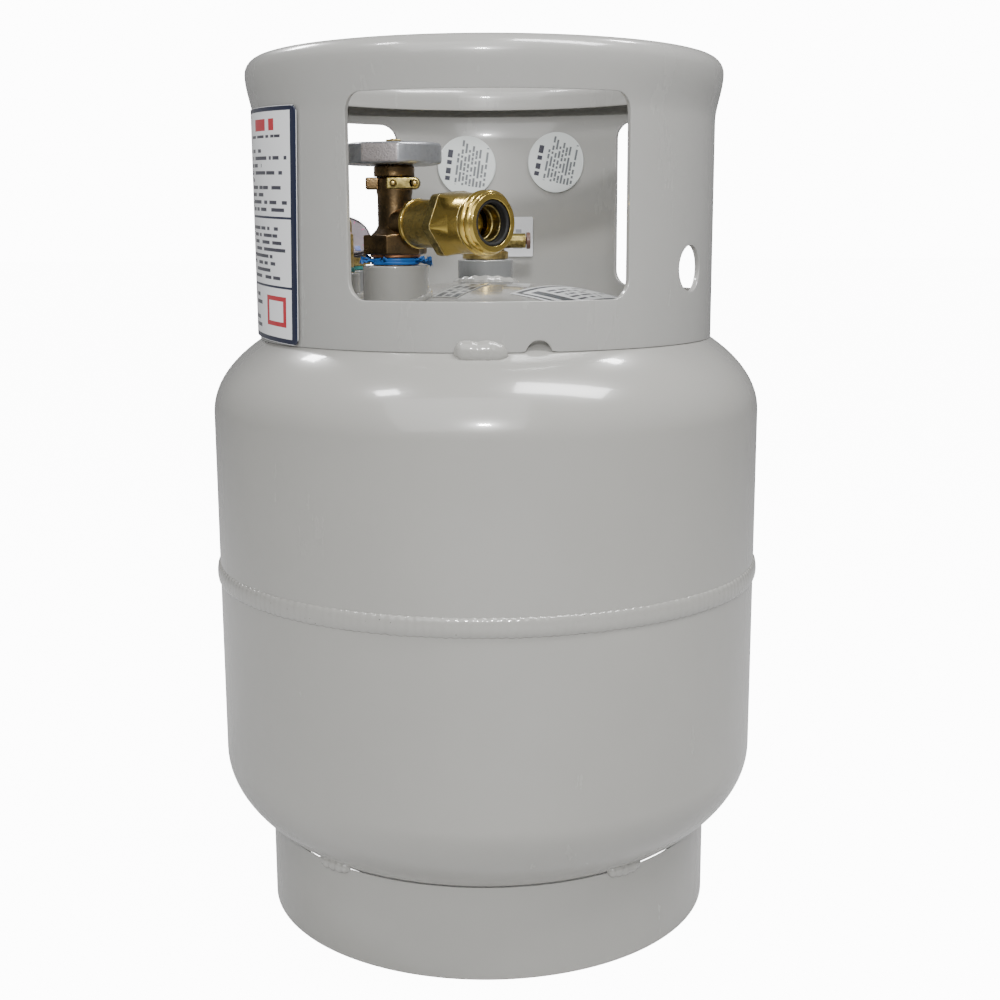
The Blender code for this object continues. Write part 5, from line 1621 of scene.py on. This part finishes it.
@dataclass
class InnerWorks:
    """Pieces inside the cylinder, whose CAD shapes stay and take a finish."""

    steel: tuple[str, ...] = ("backing_ring", "dip_tube", "vent_tube", "gauge_support_tube",
                              "gauge_drive_shaft", "gauge_pivot_pin", "gauge_float_arm")
    brass: tuple[str, ...] = ("valve_stem", "seat_holder", "coupling_guide", "relief_poppet",
                              "relief_adjuster")
    rubber: tuple[str, ...] = ("stem_o_ring", "gauge_float")
    springs: tuple[str, ...] = ("coupling_spring",)
    nylon: tuple[str, ...] = ("seat_disc",)

    def build(self) -> None:
        """Dress every inner piece."""
        pairs = ((self.steel, STEEL), (self.brass, FITTING_BRASS), (self.rubber, RUBBER),
                 (self.springs, SPRING), (self.nylon, NYLON))
        for names, finish in pairs:
            for name in names:
                mesh = bpy.data.objects[name].data
                mesh.materials.clear()
                mesh.materials.append(finish.material())
                LOG.info("%s: dressed in %s", name, finish.name)


@dataclass
class Studio:
    """Floor, lights, backdrop light and camera."""

    distance: float = 828.53
    height: float = 389.3
    lens: float = 51.63

    def build(self) -> None:
        """Build the whole studio."""
        self.camera()
        self.floor()
        self.sky()
        self.lamp("front_soft", (-0.5, -2.2, 1.9), (0.0, 0.0, 0.2), (2.6, 2.4), 38.0)
        self.lamp("flash", (-0.02, -1.53, 0.89), (0.0, 0.0, 0.3), (0.12, 0.06), 13.0)
        self.lamp("ceiling_panel", (0.6, -0.5, 1.65), (0.0, 0.0, 0.32), (0.8, 0.34), 26.0)
        self.lamp("ceiling_left", (-0.78, -0.48, 1.58), (0.0, 0.0, 0.32), (0.2, 0.16), 5.0)
        self.lamp("rear_left", (-0.77, 0.75, 1.35), (0.0, 0.0, 0.33), (0.24, 0.16), 7.0)
        self.lamp("rear_right", (0.68, 0.42, 1.58), (0.0, 0.0, 0.33), (0.16, 0.12), 4.0)

    def camera(self) -> None:
        """Build the camera."""
        data = bpy.data.cameras.new("camera")
        data.lens = self.lens
        data.sensor_width = 36.0
        camera = new_object("camera", data)
        turn = Matrix.Rotation(-0.0093, 4, "Z") @ Matrix.Rotation(math.pi / 2.0 - 0.1846, 4, "X")
        turn = turn @ Matrix.Rotation(-0.004, 4, "Z")
        camera.matrix_world = Matrix.Translation((0.0, -self.distance * MM, self.height * MM)) @ turn
        bpy.context.scene.camera = camera

    def floor(self) -> None:
        """Build the floor."""
        mesh = bpy.data.meshes.new("floor")
        corners = [(-20.0, -20.0, 0.0), (20.0, -20.0, 0.0), (20.0, 20.0, 0.0), (-20.0, 20.0, 0.0)]
        mesh.from_pydata(corners, [], [(0, 1, 2, 3)])
        made = bpy.data.materials.new("pale_floor")
        made.use_nodes = True
        shader = made.node_tree.nodes["Principled BSDF"]
        shader.inputs["Base Color"].default_value = (0.42, 0.42, 0.42, 1.0)
        shader.inputs["Roughness"].default_value = 0.8
        shader.inputs["Emission Color"].default_value = (1.0, 1.0, 1.0, 1.0)
        graph = Graph(made.node_tree)
        lit = graph.add("ShaderNodeLightPath").outputs["Is Camera Ray"]
        graph.feed(shader.inputs["Emission Strength"], graph.math("MULTIPLY_ADD", lit, 12.0, 0.12))
        mesh.materials.append(made)
        new_object("floor", mesh)

    def sky(self) -> None:
        """Build the even light from all round."""
        world = bpy.data.worlds.new("studio")
        world.use_nodes = True
        graph = Graph(world.node_tree)
        lit = graph.add("ShaderNodeLightPath").outputs["Is Camera Ray"]
        strength = graph.math("MULTIPLY_ADD", lit, 12.5, 0.27)
        graph.feed(world.node_tree.nodes["Background"].inputs[1], strength)
        world.node_tree.nodes["Background"].inputs[0].default_value = (1.0, 1.0, 1.0, 1.0)
        bpy.context.scene.world = world

    def lamp(self, name: str, place: Triple, target: Triple,
             size: Point, power: float) -> None:
        """Build one soft lamp that faces a target, as level across as it can be."""
        run = Vector((1.0, 0.0, 0.0))
        data = bpy.data.lights.new(name, "AREA")
        data.shape = "RECTANGLE"
        data.size, data.size_y = size
        data.energy = power
        back = (Vector(place) - Vector(target)).normalized()
        side = (run - back * run.dot(back)).normalized()
        facing = Matrix((side, back.cross(side), back)).transposed().to_4x4()
        new_object(name, data).matrix_world = Matrix.Translation(place) @ facing


def main() -> None:
    """Build the studio and every sub-assembly."""
    logging.basicConfig(level=logging.INFO, format="%(name)s: %(message)s")
    for part in (Studio(), Vessel(), FootRing(), Collar(), Bosses(), ServiceValve(), Coupling(),
                 ReliefValve(), LevelVent(), Gauge(), Stickers(), InnerWorks()):
        LOG.info("building %s", type(part).__name__)
        part.build()


if __name__ == "__main__":
    main()
